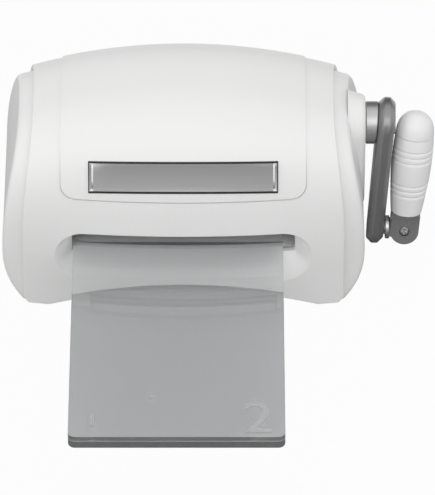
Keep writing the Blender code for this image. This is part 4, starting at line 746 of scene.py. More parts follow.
class Housing:
    """The housing's curved surfaces, worked out from its sizes round its own middle."""

    def __init__(self, scene):
        self.shell = scene.machine_shell
        self.ends = scene.machine_ends
        self.mouth = scene.machine_mouth
        self.panel = scene.machine_panel

    def half_depth(self, x, inset):
        share = (x / self.shell.crown_half) ** 2
        return self.shell.depth / 2 - self.shell.crown_depth_drop * share - inset

    def rise(self, x, inset):
        share = (x / self.shell.crown_half) ** 2
        return self.shell.height - self.shell.shoulder - self.shell.crown_height_drop * share - inset

    def on_arch(self, x, angle, inset):
        """Point of the arch at x, at an angle of 0 at the front shoulder to a half turn at the rear one."""
        lean, climb = math.cos(angle), max(math.sin(angle), 0)
        reach = (abs(lean) ** self.shell.power + climb ** self.shell.power) ** (-1 / self.shell.power)
        return Vector((x, -lean * reach * self.half_depth(x, inset),
                       self.shell.shoulder + climb * reach * self.rise(x, inset)))

    def front_y(self, x, z, inset):
        """Depth of the front surface at x and z."""
        if z <= self.shell.shoulder:
            return -self.half_depth(x, inset)
        up = min((z - self.shell.shoulder) / self.rise(x, inset), 1)
        return -self.half_depth(x, inset) * (1 - up ** self.shell.power) ** (1 / self.shell.power)

    def front_angle(self, x, z, inset):
        """Arch angle at which the front surface reaches a height."""
        up = min(max((z - self.shell.shoulder) / self.rise(x, inset), 0), 1)
        return math.atan2(up, (1 - up ** self.shell.power) ** (1 / self.shell.power))

    def on_row(self, x, along, inset, foot):
        """Point of the whole section at x: up the front wall, over the arch and down the rear wall."""
        if along < WALL_SHARE:
            climb = along / WALL_SHARE
            return Vector((x, -self.half_depth(x, inset), foot + (self.shell.shoulder - foot) * climb))
        if along > 1 - WALL_SHARE:
            climb = (1 - along) / WALL_SHARE
            return Vector((x, self.half_depth(x, inset), foot + (self.shell.shoulder - foot) * climb))
        return self.on_arch(x, math.pi * (along - WALL_SHARE) / (1 - 2 * WALL_SHARE), inset)

    def level(self, along):
        """Height that sets how wide the housing is at a place along the section."""
        return self.on_row(self.shell.crown_half, along, 0, self.shell.foot).z

    def end_reach(self, z):
        """Half width of the housing over its end walls."""
        ends = self.ends
        if z > ends.widest:
            return ends.half - ends.top_taper * ((z - ends.widest) / self.shell.taper_span) ** 2
        return ends.half - ends.foot_taper * ((ends.widest - z) / ends.widest) ** ends.foot_power

    def cover_reach(self, z):
        """Half width of the main cover, where it steps down to the end shells."""
        top = max(z - self.shell.edge_taper_from, 0) / self.shell.taper_span
        plain = self.shell.edge_half - self.shell.edge_taper * top ** 2
        return min(plain, self.end_reach(z) - self.ends.chamfer - self.ends.band)

    def underside(self, x):
        """Height of the main cover's lower edge, which arches up between its feet."""
        rise = self.shell.underside_rise * max(1 - (x / self.shell.underside_half) ** 2, 0)
        return self.shell.foot + rise

    def cover_sheet(self):
        def place(across, along):
            x = self.cover_reach(self.level(along)) * (2 * across - 1)
            return self.on_row(x, along, 0, self.underside(x))
        return shaped_grid(108, ALONG_STEPS, place)

    def panel_sheet(self, margin, inset):
        """Round-cornered sheet over the crest, wider than the panel by a margin."""
        half, low, corner = self.panel.half + margin, self.panel.low - margin, self.panel.corner + margin

        def place(across, along):
            share = (1 - math.cos(math.pi * along)) / 2
            start = self.front_angle(half, low, inset)
            z = self.on_arch(half, start + share * (math.pi - 2 * start), inset).z
            inner = max(corner - (z - low), 0)
            reach = half - corner + math.sqrt(max(corner ** 2 - inner ** 2, 0))
            x = reach * (2 * across - 1)
            start = self.front_angle(x, low, inset)
            return self.on_arch(x, start + share * (math.pi - 2 * start), inset)
        return shaped_grid(84, ALONG_STEPS, place)

    def panel_slab(self, margin, outer, inner):
        return thicken(self.panel_sheet(margin, outer), inner - outer, (0, 0, 1))

    def mouth_cutter(self, end):
        """Scoop that narrows to the feed mouth and runs on through the wall behind it."""
        mouth = self.mouth
        radius = (mouth.scoop_high - mouth.scoop_low) / 2 - GAP
        wide = (mouth.scoop_half, mouth.scoop_low, mouth.scoop_high, radius)
        narrow = (mouth.half, mouth.low, mouth.high, mouth.corner)
        rings = []
        for i in range(MOUTH_RINGS + 1):
            share = MOUTH_LIP_SHARE + (1 - MOUTH_LIP_SHARE) * i / MOUTH_RINGS
            sizes = [a + (b - a) * share for a, b in zip(wide, narrow)]
            sizes[3] = min(sizes[3], (sizes[2] - sizes[1]) / 2 - GAP)
            depth = mouth.scoop_depth * (mouth.slope_share * share
                                         + (1 - mouth.slope_share) * share * abs(share))
            outline = rounded_ring(*sizes, MOUTH_CORNER_STEPS, MOUTH_SPLITS)
            rings.append([(x, -end * self.front_y(x, z, depth), z) for x, z in outline])
        wall = self.shell.depth / 2
        outside = [(x, end * (wall + OVERRUN), z) for x, y, z in rings[0]]
        inside = [(x, end * (wall - mouth.pad_depth - 2 * OVERRUN), z) for x, y, z in rings[-1]]
        return ringed_body([outside] + rings + [inside])

    def mouth_pad(self, end):
        """Thick wall behind the scoop, sunk into the cover's own wall."""
        mouth = self.mouth
        half = mouth.scoop_half + mouth.pad_margin
        low, high = mouth.scoop_low - mouth.pad_margin, mouth.scoop_high + mouth.pad_margin
        start = self.shell.wall / 2

        def place(across, along):
            x, z = half * (2 * across - 1), low + (high - low) * along
            return Vector((x, -end * self.front_y(x, z, start), z))
        return thicken(shaped_grid(40, 16, place), mouth.pad_depth - start, (0, end, 0))

    def posts(self):
        """Screw posts inside the cover's corners."""
        outer = self.half_depth(POST_X, self.shell.wall / 2)
        for end in ENDS.values():
            for side in SIDES.values():
                near, far = sorted((end * POST_INNER, end * outer))
                yield block((side * POST_X - POST_HALF, near, POST_FOOT),
                            (side * POST_X + POST_HALF, far, POST_FOOT + POST_HEIGHT))

    def nameplate_sheet(self, side=0.0, below=0.0, depth=0.0):
        """The nameplate's front, made wider and longer at the foot and moved back by the given sizes."""
        panel = self.panel
        inset = depth - (panel.proud + GAP + panel.plate_thickness)

        def place(across, along):
            x = (panel.plate_half + side) * (2 * across - 1)
            flat = panel.plate_low - below + (panel.plate_high - panel.plate_low + below) * along
            sink = 1 - self.rise(x, 0) / self.rise(0, 0)
            z = flat - (flat - self.shell.shoulder) * sink * panel.plate_follow
            return Vector((x, self.front_y(x, z, inset), z))
        return shaped_grid(48, 8, place)

    def end_sheet(self, side):
        """Bowl-shaped end: a band under the cover's edge, a rounded rim, and the end wall."""
        ends = self.ends

        def place(across, along):
            level = self.level(along)
            wall = self.end_reach(level)
            if across < BAND_SHARE:
                start = self.cover_reach(level) - ends.lip
                x = start + (wall - ends.chamfer - start) * across / BAND_SHARE
                point = self.on_row(x, along, ends.step, self.shell.foot)
            elif across < RIM_SHARE:
                turn = math.pi / 2 * (across - BAND_SHARE) / (RIM_SHARE - BAND_SHARE)
                x = wall - ends.chamfer * (1 - math.sin(turn))
                inset = ends.step + ends.chamfer * (1 - math.cos(turn))
                point = self.on_row(x, along, inset, self.shell.foot)
            else:
                rim = self.on_row(wall, along, ends.step + ends.chamfer, self.shell.foot)
                inward = (across - RIM_SHARE) / (1 - RIM_SHARE)
                y = rim.y * (1 - inward)
                z = self.shell.foot + (rim.z - self.shell.foot) * (1 - inward)
                point = Vector((self.end_reach(self.level_at(z, rim.z, level)), y, z))
            return Vector((side * point.x, point.y, point.z))
        return shaped_grid(60, ALONG_STEPS, place)

    def level_at(self, z, rim_z, level):
        """Level of a point on the end wall, on a line from its rim down to the foot."""
        foot = self.shell.foot
        if rim_z - foot < MERGE:
            return level
        return foot + (level - foot) * (z - foot) / (rim_z - foot)


def add_shell(name, shape, node):
    """Adds a piece of the moulded white housing."""
    add_piece(name, shape, "satin_white_shell", [node], "housing", place=HOUSING_PLACE)


class MACHINE_OT_main_cover(bpy.types.Operator):
    """Build the arched main cover with its two feed mouths and the panel's seat"""
    bl_idname = "machine.main_cover"
    bl_label = "Main Cover"

    def execute(self, context):
        housing = Housing(context.scene)
        shape = thicken(housing.cover_sheet(), housing.shell.wall, (0, 0, 1))
        round_edges(shape, housing.shell.edge_round)
        shape = join(shape, *map(housing.mouth_pad, ENDS.values()), *housing.posts())
        seat = housing.panel_slab(housing.panel.groove, -OVERRUN, housing.panel.seat)
        shape = cut(shape, *map(housing.mouth_cutter, ENDS.values()), seat)
        add_shell("arched_cover", shape, "main_cover")
        return {"FINISHED"}


class MACHINE_OT_crest_panel(bpy.types.Operator):
    """Build the raised panel that wraps over the crest"""
    bl_idname = "machine.crest_panel"
    bl_label = "Crest Panel"

    def execute(self, context):
        housing = Housing(context.scene)
        panel = housing.panel
        shape = housing.panel_slab(0, -panel.proud, panel.seat - GAP)
        round_edges(shape, panel.edge_round)
        add_shell("crest_panel", shape, "top_panel")
        return {"FINISHED"}


class MACHINE_OT_nameplate(bpy.types.Operator):
    """Build the bare chrome nameplate with its sloped ends, and a black sheet behind it: painted shade at
    its edges and a painted shadow below it
    """
    bl_idname = "machine.nameplate"
    bl_label = "Nameplate"

    def execute(self, context):
        housing = Housing(context.scene)
        panel = housing.panel
        shape = thicken(housing.nameplate_sheet(), panel.plate_thickness, (0, -1, 0))
        shape.normal_update()
        front = [face for face in shape.faces if face.normal.y < -0.5]
        ends = [corner for corner in {corner for face in front for corner in face.verts}
                if panel.plate_half - abs(corner.co.x) < MERGE]
        bmesh.ops.inset_region(shape, faces=front, thickness=panel.plate_bevel, use_boundary=True,
                               use_even_offset=True)
        for corner in ends:
            corner.co.y += panel.plate_slope
        add_piece("chrome_nameplate", shape, "bright_chrome_plate", ["nameplate"], "housing",
                  place=HOUSING_PLACE)
        # Black sheet behind the nameplate: painted shade round its edges and a painted shadow below it
        seat = housing.nameplate_sheet(panel.painted_shadow_side, panel.painted_shadow_below, panel.plate_thickness)
        thicken(seat, PAINTED_SHADOW_THICKNESS, (0, -1, 0))
        add_piece("nameplate_seat", seat, "black_rubber_foot", [], "housing",
                  place=HOUSING_PLACE)
        return {"FINISHED"}


class MACHINE_OT_end_shells(bpy.types.Operator):
    """Build the two end shells, with the hub pad on the crank's side"""
    bl_idname = "machine.end_shells"
    bl_label = "End Shells"

    def execute(self, context):
        housing = Housing(context.scene)
        for name, side in SIDES.items():
            shape = thicken(housing.end_sheet(side), housing.ends.wall, (side, 0, 0))
            if name == "right":
                shape = self.add_hub_pad(shape, housing)
            add_shell(name + "_end_shell", shape, name + "_side_cover")
        return {"FINISHED"}

    def add_hub_pad(self, shape, housing):
        ends = housing.ends
        axis_z = Vector(joint_named("crank_turn")["pos_m"]).z
        face = ends.half + ends.pad_rise
        root = ends.half - ends.pad_root
        steps = [(root, -ends.pad_flare)]
        steps += [(face - ends.pad_taper * down, ends.pad_taper * inward) for down, inward in PAD_RIM]
        rings = []
        for x, inset in steps:
            radius = ends.pad_radius - inset
            outline = arc((0, axis_z), radius, 0, 180, 36)
            outline += arc((0, axis_z - ends.pad_drop), radius, 180, 360, 36)
            rings.append([(x, y, z) for y, z in outline])
        hole = moved(bar(root - 2 * OVERRUN, face + OVERRUN, ends.bore), z=axis_z)
        return cut(join(shape, ringed_body(rings)), hole)


# Crank and handle

# Small sizes of the crank's and the handle's pieces, in metres, with a few shares and counts
STEEL_EDGE = 0.0006
CLIP_SEAT_DEPTH, CLIP_SEAT_RADIUS = 0.0035, 0.0075
ARM_SCREW_LENGTH, ARM_SCREW_SHANK = 0.0118, 0.0025
ARM_CROSS_REACH, ARM_CROSS_WIDTH, ARM_CROSS_DEPTH = 0.52, 0.0018, 0.0014
PIN_EDGE, TONGUE_ROOT_SHARE = 0.0005, 0.6
SLOT_PLAY = 0.0004
TANG_RADIUS, TANG_BORE, TANG_BORE_DEPTH = 0.004, 0.0023, 0.012
FOLD_SCREW_EASE, FOLD_CROSS_WIDTH, FOLD_CROSS_DEPTH = 0.0007, 0.0012, 0.0011
NUT_EDGE = 0.0002
GRIP_EDGE, GRIP_SOCKET, GRIP_WEB, GRIP_STEPS = 0.0002, 0.0073, 0.003, 132
CAP_SPIGOT_LENGTH, CAP_SPIGOT_RADIUS, CAP_ROUNDNESS, CAP_STEPS = 0.004, 0.007, 2 / 2.3, 28
# Places along the grip, as shares of its body
GRIP_RING_SHARES = (0.258, 0.328, 0.398, 0.703, 0.773, 0.843)
GRIP_BELLY_SHARE = 0.73
GRIP_NECK_SHARE = 0.24


def quarter_turn(steps):
    """Angles from nothing to a quarter turn, for a round rim or a dome."""
    return [math.pi / 2 * i / steps for i in range(steps + 1)]


class CrankPlan:
    """Where the crank's pieces lie, worked out from the frame and the crank's sizes."""

    def __init__(self, scene):
        self.sizes = scene.machine_crank
        self.axis = Vector(joint_named("crank_turn")["pos_m"])
        self.axis.x = HOUSING.x
        self.collar_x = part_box("crank_collar")[0].x - HOUSING.x
        self.arm_x = self.collar_x + self.sizes.collar_length + GAP
        self.outer_x = self.arm_x + self.sizes.thickness
        self.drift = self.sizes.radius * math.tan(self.sizes.lean)
        self.place = Matrix.Translation(self.axis) @ Matrix.Rotation(self.sizes.rest_angle, 4, "X")

    def lean(self, corners):
        for corner in corners:
            corner.co.x += corner.co.z * math.tan(self.sizes.lean)

    def screw_seat(self):
        """Flat that is cut square into the leaning arm for the screw's head."""
        return self.outer_x - (self.sizes.head_radius + GAP) * math.tan(self.sizes.lean)


def cross_drive(face_x, reach, width, depth):
    """The two slots of a cross recess in a face that looks along X."""
    return [block((face_x - depth, -across, -up), (face_x + OVERRUN, across, up))
            for across, up in ((width / 2, reach), (reach, width / 2))]


class MACHINE_OT_crank(bpy.types.Operator):
    """Build the collar, the tapered arm and the screw that holds it"""
    bl_idname = "machine.crank"
    bl_label = "Crank"

    def execute(self, context):
        plan = CrankPlan(context.scene)
        self.make_collar(plan)
        self.make_arm(plan, context.scene.machine_handle)
        self.make_screw(plan)
        return {"FINISHED"}

    def make_collar(self, plan):
        sizes = plan.sizes
        start, end = plan.collar_x, plan.collar_x + sizes.collar_length
        edge, bore, radius = STEEL_EDGE, sizes.journal + GAP, sizes.collar_radius
        shape = spun_body([(start, bore), (start, radius - edge), (start + edge, radius),
                           (end - edge, radius), (end, radius - edge), (end, bore)], 96, closed=True)
        plan.lean([corner for corner in shape.verts if corner.co.x > (start + end) / 2])
        add_piece("hub_collar", shape, "turned_steel_bar", ["crank_collar"], "crank",
                  FINE_CREASE, plan.place)

    def make_arm(self, plan, handle):
        sizes = plan.sizes
        discs = [(0, 0, sizes.hub_radius), (0, -sizes.radius, sizes.tip_radius)]
        shape = linked_discs(discs, plan.arm_x, plan.outer_x)
        round_edges(shape, sizes.edge, 1)
        round_edges(shape, sizes.edge_ease, 3, FINE_CREASE)
        plan.lean(shape.verts)
        wide = plan.drift + OVERRUN
        inner, beyond = plan.arm_x - plan.drift, plan.outer_x + wide
        shape = cut(shape, bar(plan.arm_x - wide, beyond, sizes.journal + GAP),
                    bar(plan.screw_seat(), beyond, sizes.head_radius + GAP),
                    moved(bar(inner - wide, beyond, handle.pin_radius + GAP), z=-sizes.radius),
                    moved(bar(inner - wide, inner + CLIP_SEAT_DEPTH, CLIP_SEAT_RADIUS), z=-sizes.radius))
        add_piece("crank_lever", shape, "cast_grey_lever", ["crank_arm"], "crank",
                  FINE_CREASE, plan.place)

    def make_screw(self, plan):
        sizes = plan.sizes
        seat = plan.screw_seat() + GAP
        face = seat + sizes.head_height
        head, ease = sizes.head_radius, sizes.head_height / 2
        dome = [(face - ease + ease * math.sin(t), head - ease + ease * math.cos(t))
                for t in quarter_turn(5)]
        foot = seat - ARM_SCREW_LENGTH
        profile = [(foot, 0), (foot, ARM_SCREW_SHANK), (seat, ARM_SCREW_SHANK), (seat, head)]
        shape = cut(spun_body(profile + dome + [(face, 0)], 64),
                    *cross_drive(face, head * ARM_CROSS_REACH, ARM_CROSS_WIDTH, ARM_CROSS_DEPTH))
        add_piece("lever_screw", shape, "polished_steel_pin", ["crank_arm_screw"], "crank",
                  FINE_CREASE, Matrix.Translation(plan.axis))


class HandlePlan(CrankPlan):
    """Where the handle's pieces lie, outward from the arm's tip."""

    def __init__(self, scene):
        super().__init__(scene)
        self.handle = scene.machine_handle
        self.tip_x = self.outer_x - self.drift
        self.inner_x = self.arm_x - self.drift
        self.tang_top = (self.handle.fork_top + self.handle.grip_length - self.handle.cap_length
                         - self.handle.tang_room)
        self.clearance = self.handle.tongue_radius * math.tan(self.sizes.lean) + GAP
        self.pin_x = self.tip_x + self.clearance
        self.fold_x = joint_named("handle_fold")["pos_m"][0] - HOUSING.x
        self.swivel = self.place @ Matrix.Translation((0, 0, -self.sizes.radius))
        self.fold = (self.swivel @ Matrix.Translation((self.fold_x, 0, 0))
                     @ Matrix.Rotation(self.handle.fold_lean, 4, "Y"))


class MACHINE_OT_handle(bpy.types.Operator):
    """Build the swivel pin, the fork with its cross screw and nut, and the grip with its cap"""
    bl_idname = "machine.handle"
    bl_label = "Folding Handle"

    def execute(self, context):
        plan = HandlePlan(context.scene)
        self.make_pin(plan)
        self.make_fork(plan)
        self.make_fold_screw(plan)
        self.make_grip(plan)
        return {"FINISHED"}

    def make_pin(self, plan):
        handle = plan.handle
        foot, start, end = plan.inner_x + plan.clearance, plan.pin_x, plan.pin_x + handle.pin_collar_length
        radius, collar, edge = handle.pin_radius, handle.pin_collar, PIN_EDGE
        shape = spun_body([(foot, 0), (foot, radius), (start, radius), (start, collar - edge),
                           (start + edge, collar), (end - edge, collar), (end, collar - edge),
                           (end, 0)], 64)
        tongue = linked_discs([(plan.fold_x, 0, handle.tongue_radius),
                               (end, 0, handle.tongue_radius * TONGUE_ROOT_SHARE)],
                              -handle.tongue_half, handle.tongue_half, "Y")
        hole = bar(-handle.fork_depth, handle.fork_depth, handle.shank + GAP, 48, "Y")
        shape = cut(join(shape, tongue), moved(hole, x=plan.fold_x))
        add_piece("swivel_stud", shape, "polished_steel_pin", ["swivel_pin"], "swivel",
                  FINE_CREASE, plan.swivel)

    def make_fork(self, plan):
        handle = plan.handle
        half, depth = handle.fork_half, handle.fork_depth
        shoulders = block((-half, -depth, 0), (half, depth, handle.fork_top))
        shape = join(linked_discs([(0, 0, half)], -depth, depth, "Y", 96), shoulders)
        flatten(shape)
        round_edges(shape, handle.fork_edge, 4)
        top, wide, deep = plan.tang_top, half + OVERRUN, depth + OVERRUN
        slot = handle.tongue_half + SLOT_PLAY
        sinks = [bar(*sorted((end * (depth - handle.screw_sink), end * deep)), handle.screw_head + GAP,
                     axis="Y") for end in ENDS.values()]
        shape = cut(join(shape, bar(handle.fork_slot_top + GAP, top, TANG_RADIUS, 48, "Z")),
                    block((-wide, -slot, -wide), (wide, slot, handle.fork_slot_top)),
                    bar(-deep, deep, handle.shank + GAP, 48, "Y"), *sinks,
                    bar(top - TANG_BORE_DEPTH, top + OVERRUN, TANG_BORE, 24, "Z"))
        add_piece("fork_knuckle", shape, "cast_grey_lever", ["handle_fork"], "handle",
                  FINE_CREASE, plan.fold)

    def make_fold_screw(self, plan):
        handle = plan.handle
        seat = handle.fork_depth - handle.screw_sink + GAP
        face, head, ease = seat + handle.screw_height, handle.screw_head, FOLD_SCREW_EASE
        dome = [(-face + ease - ease * math.sin(t), head - ease + ease * math.cos(t))
                for t in reversed(quarter_turn(4))]
        shank = handle.shank
        tip = face - GAP
        profile = [(-face, 0)] + dome + [(-seat, head), (-seat, shank), (tip, shank), (tip, 0)]
        half, reach = FOLD_CROSS_WIDTH / 2, head - FOLD_CROSS_WIDTH
        shape = cut(spun_body(profile, 64, "Y"),
                    *(block((-across, -face - OVERRUN, -up), (across, -face + FOLD_CROSS_DEPTH, up))
                      for across, up in ((half, reach), (reach, half))))
        add_piece("cross_screw", shape, "polished_steel_pin", ["fold_screw"], "handle",
                  FINE_CREASE, plan.fold)
        bore = (shank + GAP) / math.cos(math.pi / 6)
        nut = spun_body([(seat, bore), (seat, head), (face, head), (face, bore)], 6, "Y", closed=True)
        round_edges(nut, NUT_EDGE, 2)
        add_piece("lock_nut", nut, "polished_steel_pin", ["fold_nut"], "handle", FINE_CREASE,
                  plan.fold)

    def make_grip(self, plan):
        handle = plan.handle
        foot = handle.fork_top + GAP
        body = handle.grip_length - handle.cap_length
        top = foot + body
        outer = [(foot + body * share, self.radius(handle, share))
                 for share in (i / GRIP_STEPS for i in range(GRIP_STEPS + 1))]
        web, bore = plan.tang_top + GAP, TANG_RADIUS + GAP
        inner = [(top, GRIP_SOCKET), (web + GRIP_WEB, GRIP_SOCKET), (web + GRIP_WEB, TANG_BORE),
                 (web, TANG_BORE), (web, bore), (foot, bore)]
        edge = GRIP_EDGE
        rim = [(foot, outer[0][1] - edge), (foot + edge, outer[0][1])]
        seam = [(top - edge, outer[-1][1]), (top, outer[-1][1] - edge)]
        middle = [point for point in outer if foot + edge < point[0] < top - edge]
        shape = spun_body(rim + middle + seam + inner, 96, "Z", closed=True)
        add_piece("ringed_grip", shape, "satin_white_grip", ["handle_grip"], "handle",
                  FINE_CREASE, plan.fold)
        start, radius, height = top + GAP, outer[-1][1], handle.cap_length - GAP
        dome = [(start + height * math.sin(t) ** CAP_ROUNDNESS, radius * math.cos(t) ** CAP_ROUNDNESS)
                for t in quarter_turn(CAP_STEPS)[1:-1]]
        spigot = start - CAP_SPIGOT_LENGTH
        cap = [(spigot, 0), (spigot, CAP_SPIGOT_RADIUS), (start, CAP_SPIGOT_RADIUS), (start, radius - edge),
               (start + edge, radius)] + [point for point in dome if point[0] > start + 2 * edge]
        shape = spun_body(cap + [(start + height, 0)], 96, "Z")
        add_piece("domed_cap", shape, "satin_white_grip", ["grip_cap"], "handle",
                  FINE_CREASE, plan.fold)

    def radius(self, handle, share):
        """Radius of the grip's body along its length, with its two groups of ring grooves."""
        swell = handle.belly_radius - handle.foot_radius
        rise = math.sin(math.pi / 2 * min(share / GRIP_BELLY_SHARE, 1))
        fall = max(share - GRIP_BELLY_SHARE, 0) / (1 - GRIP_BELLY_SHARE)
        plain = handle.foot_radius + swell * (rise - GRIP_NECK_SHARE * fall ** 2)
        width_share = handle.ring_width / (handle.grip_length - handle.cap_length)
        groove = 0
        for ring in GRIP_RING_SHARES:
            off = abs(share - ring) / width_share
            if off < 1:
                groove = handle.ring_depth * (1 + math.cos(math.pi * off)) / 2
        return plain - groove


# Cutting plates

# Height of a figure as a share of its font size
FIGURE_SHARE = 0.72


class MACHINE_OT_plates(bpy.types.Operator):
    """Build the two clear cutting plates and the numerals moulded in the upper one"""
    bl_idname = "machine.plates"
    bl_label = "Cutting Plates"

    def execute(self, context):
        sizes = context.scene.machine_plates
        for name in ("lower", "upper"):
            low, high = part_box(name + "_cutting_plate")
            shape = block(low, high)
            upright = [edge for edge in shape.edges if abs(edge.verts[0].co.z - edge.verts[1].co.z) > MERGE]
            bevel(shape, upright, sizes.corner, 10)
            round_edges(shape, sizes.edge)
            if name == "upper":
                shape = join(shape, *self.moulded_marks(sizes, low, high))
            frost = shape.faces.layers.float.new("frost")
            for face in shape.faces:
                face[frost] = float(face.calc_center_median().z > high.z + sizes.relief / 2)
            plate = add_piece(name + "_clear_plate", shape, "clear_acrylic_sheet",
                              [name + "_cutting_plate"], "plates", FLAT_CREASE)
            plate.visible_shadow = False
        return {"FINISHED"}

    def moulded_marks(self, sizes, low, high):
        """The two raised numerals and the gate mark on the upper plate."""
        yield self.numeral(sizes.left_numeral, sizes.left_height, sizes.relief,
                           Vector((low.x + sizes.left_inset, low.y + sizes.left_margin, high.z)))
        yield self.numeral(sizes.right_numeral, sizes.right_height, sizes.relief,
                           Vector((high.x - sizes.right_inset, low.y + sizes.right_margin, high.z)))
        gate = bar(-sizes.relief, sizes.relief, sizes.gate_radius, 32, "Z")
        yield moved(gate, low.x + sizes.gate_x, low.y + sizes.gate_y, high.z)

    def numeral(self, text, height, relief, foot):
        """Solid numeral half sunk in the surface that its foot stands on."""
        curve = bpy.data.curves.new("numeral", "FONT")
        curve.body = text
        curve.align_x = "CENTER"
        curve.size = height / FIGURE_SHARE
        curve.extrude = relief
        holder = linked("numeral", curve)
        shape = bmesh.new()
        shape.from_mesh(holder.to_mesh())
        bmesh.ops.remove_doubles(shape, verts=shape.verts, dist=MERGE)
        shape.transform(Matrix.Translation(foot))
        holder.to_mesh_clear()
        bpy.data.objects.remove(holder)
        bpy.data.curves.remove(curve)
        return shape


class MACHINE_OT_mechanism(bpy.types.Operator):
    """Give the frames, rollers, gears, feet and screws their finishes"""
    bl_idname = "machine.mechanism"
    bl_label = "Mechanism Finishes"

    def execute(self, context):
        for finish, nodes in CAD_FINISHES.items():
            for node in nodes:
                for slot in frame["nodes"][node].material_slots:
                    slot.material = machine_finish(finish)
        return {"FINISHED"}


# Studio

BENCH_HALF = 6.0
CLIP_END = 50.0
# Name, place, aim, size, the setting that holds the power and the share of it
LAMPS = (
    ("overhead_softbox", (0.0, -1.75, 2.05), (0, 0.05, 0.08), (2.8, 1.6), "key", 1.0),
    ("side_softbox", (-2.1, -1.3, 1.1), (0, 0, 0.08), (1.4, 1.2), "fill", 1.0),
    ("side_softbox", (2.1, -1.3, 1.1), (0, 0, 0.08), (1.4, 1.2), "fill", 0.5),
)
# Name, size, place, tilt and the fade from its foot to its top
CARDS = (
    ("front_card", (0.64, 0.5), (0, -0.75, 0.26), math.pi / 2, [(0.0, 0.78), (0.45, 0.46)]),
    ("rear_card", (4.0, 1.6), (0, 1.4, 0.81), math.pi / 2, [(0.0, 0.10), (1.0, 0.05)]),
    ("bench_card", (1.6, 1.0), (0.0, -0.15, 0.002), 0, [(0.0, 0.10), (1.0, 0.10)]),
)


def studio_lamp(name, place, aim, size, power):
    lamp = bpy.data.lights.new(name, "AREA")
    lamp.shape = "RECTANGLE"
    lamp.size, lamp.size_y = size
    lamp.energy = power
    holder = linked(name, lamp)
    holder.location = place
    holder.rotation_euler = (Vector(aim) - Vector(place)).to_track_quat("-Z", "Y").to_euler()


def backdrop_share(tree, through):
    """1 for rays from the eye or a mirror, the given share for rays through the plates, 0 for the rest."""
    path = tree.nodes.new("ShaderNodeLightPath")
    eye, mirror, glass = (Wire(tree, path.outputs[name])
                          for name in ("Is Camera Ray", "Is Glossy Ray", "Is Transmission Ray"))
    return (eye + mirror * (1 - glass) + glass * through).capped(1.0)


def bench_finish(colour, studio):
    """Grey bench that looks white to the eye, with a trace of the machine's shadow left in it."""
    finish = Finish("pale_bench")
    tone = finish.noise(3.0, 3.0)
    finish.set(Base_Color=finish.blend(tone, shade(colour, 0.995), shade(colour, 1.005)), Roughness=0.7)
    glow = finish.tree.nodes.new("ShaderNodeEmission")
    glow.inputs["Strength"].default_value = 1.0
    mix = finish.tree.nodes.new("ShaderNodeMixShader")
    plug(finish.tree, mix.inputs[0], backdrop_share(finish.tree, studio.through) * studio.white)
    finish.tree.links.new(finish.shader.outputs[0], mix.inputs[1])
    finish.tree.links.new(glow.outputs[0], mix.inputs[2])
    finish.tree.links.new(mix.outputs[0], finish.tree.nodes["Material Output"].inputs["Surface"])
    return finish.material


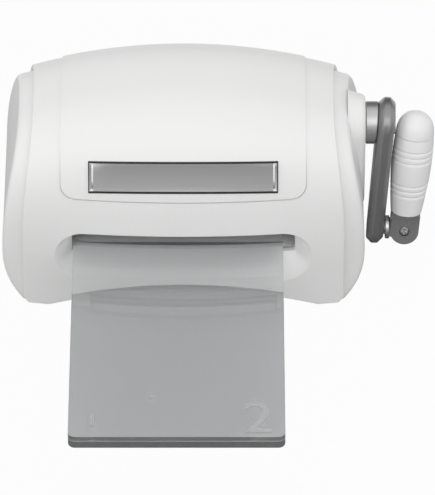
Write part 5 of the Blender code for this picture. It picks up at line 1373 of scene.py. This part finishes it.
class MACHINE_OT_studio(bpy.types.Operator):
    """Set up the bench, the lamps, the sky and the camera"""
    bl_idname = "machine.studio"
    bl_label = "Studio"

    def execute(self, context):
        scene = context.scene
        studio = scene.machine_studio
        scene.view_settings.view_transform = "Standard"
        self.lay_bench(scene.machine_colours, studio)
        self.light_sky(scene, studio)
        for name, place, aim, size, setting, part in LAMPS:
            studio_lamp(name, place, aim, size, getattr(studio, setting) * part)
        for name, size, place, tilt, stops in CARDS:
            self.add_card(name, size, Matrix.Translation(place) @ Matrix.Rotation(tilt, 4, "X"), stops,
                          studio.card[:])
        self.place_camera(scene, studio)
        return {"FINISHED"}

    def lay_bench(self, colours, studio):
        shape = bmesh.new()
        bmesh.ops.create_grid(shape, x_segments=8, y_segments=8, size=BENCH_HALF)
        self.stage_sheet("bench_top", shape, bench_finish(colours.floor[:], studio))

    def stage_sheet(self, name, shape, material):
        mesh = meshed(name, shape)
        mesh.materials.append(material)
        sheet = linked(name, mesh)
        return sheet

    def light_sky(self, scene, studio):
        world = bpy.data.worlds.new("studio_sky")
        world.use_nodes = True
        scene.world = world
        tree = world.node_tree
        sky = tree.nodes["Background"]
        sky.inputs["Color"].default_value = (1.0, 1.0, 1.0, 1.0)
        plug(tree, sky.inputs["Strength"], backdrop_share(tree, 1.0) * (1.0 - studio.sky) + studio.sky)

    def add_card(self, name, size, place, stops, tone):
        """Card that only polished metal and gloss reflect."""
        finish = Finish(name)
        fade = finish.ramp(finish.node("ShaderNodeSeparateXYZ", {}, {"Vector": finish.place}, "Z"), stops)
        finish.set(Base_Color=finish.blend(fade, tone, WHITE), Roughness=0.9)
        shape = bmesh.new()
        bmesh.ops.create_grid(shape, x_segments=2, y_segments=2, size=0.5)
        bmesh.ops.scale(shape, vec=(*size, 1.0), verts=shape.verts)
        shape.transform(place)
        card = self.stage_sheet(name, shape, finish.material)
        card.visible_camera = card.visible_diffuse = card.visible_shadow = card.visible_transmission = False

    def place_camera(self, scene, studio):
        camera = bpy.data.cameras.new("photo_camera")
        camera.sensor_width = SENSOR
        camera.lens = studio.lens_px * SENSOR / PHOTO_HEIGHT_PX
        camera.clip_end = CLIP_END
        holder = linked("photo_camera", camera)
        look = Vector((0, math.cos(studio.elevation), -math.sin(studio.elevation)))
        holder.location = Vector(studio.aim) - look * studio.distance
        holder.rotation_euler = look.to_track_quat("-Z", "Y").to_euler()
        scene.camera = holder


OPERATORS = (MACHINE_OT_main_cover, MACHINE_OT_crest_panel, MACHINE_OT_nameplate, MACHINE_OT_end_shells,
             MACHINE_OT_crank, MACHINE_OT_handle, MACHINE_OT_plates, MACHINE_OT_mechanism,
             MACHINE_OT_studio)


class MACHINE_PT_build(bpy.types.Panel):
    """Lists the steps that build the machine, with their sizes and colours"""
    bl_label = "Die Cutting Machine"
    bl_idname = "MACHINE_PT_build"
    bl_space_type = "VIEW_3D"
    bl_region_type = "UI"
    bl_category = "Die Cutter"

    def draw(self, context):
        for operator in OPERATORS:
            self.layout.operator(operator.bl_idname)
        for name in GROUPS:
            group = getattr(context.scene, name)
            box = self.layout.box()
            box.label(text=name.replace("_", " ").title())
            for item in group.bl_rna.properties:
                if not item.is_readonly and item.identifier != "name":
                    box.prop(group, item.identifier)


CLASSES = (*GROUPS.values(), *OPERATORS, MACHINE_PT_build)


def register():
    for kind in CLASSES:
        bpy.utils.register_class(kind)
    for name, group in GROUPS.items():
        setattr(bpy.types.Scene, name, PointerProperty(type=group))


def unregister():
    for name in GROUPS:
        delattr(bpy.types.Scene, name)
    for kind in reversed(CLASSES):
        bpy.utils.unregister_class(kind)


def main():
    register()
    bpy.ops.machine.main_cover()
    bpy.ops.machine.crest_panel()
    bpy.ops.machine.nameplate()
    bpy.ops.machine.end_shells()
    bpy.ops.machine.crank()
    bpy.ops.machine.handle()
    bpy.ops.machine.plates()
    bpy.ops.machine.mechanism()
    bpy.ops.machine.studio()


if __name__ == "__main__":
    main()
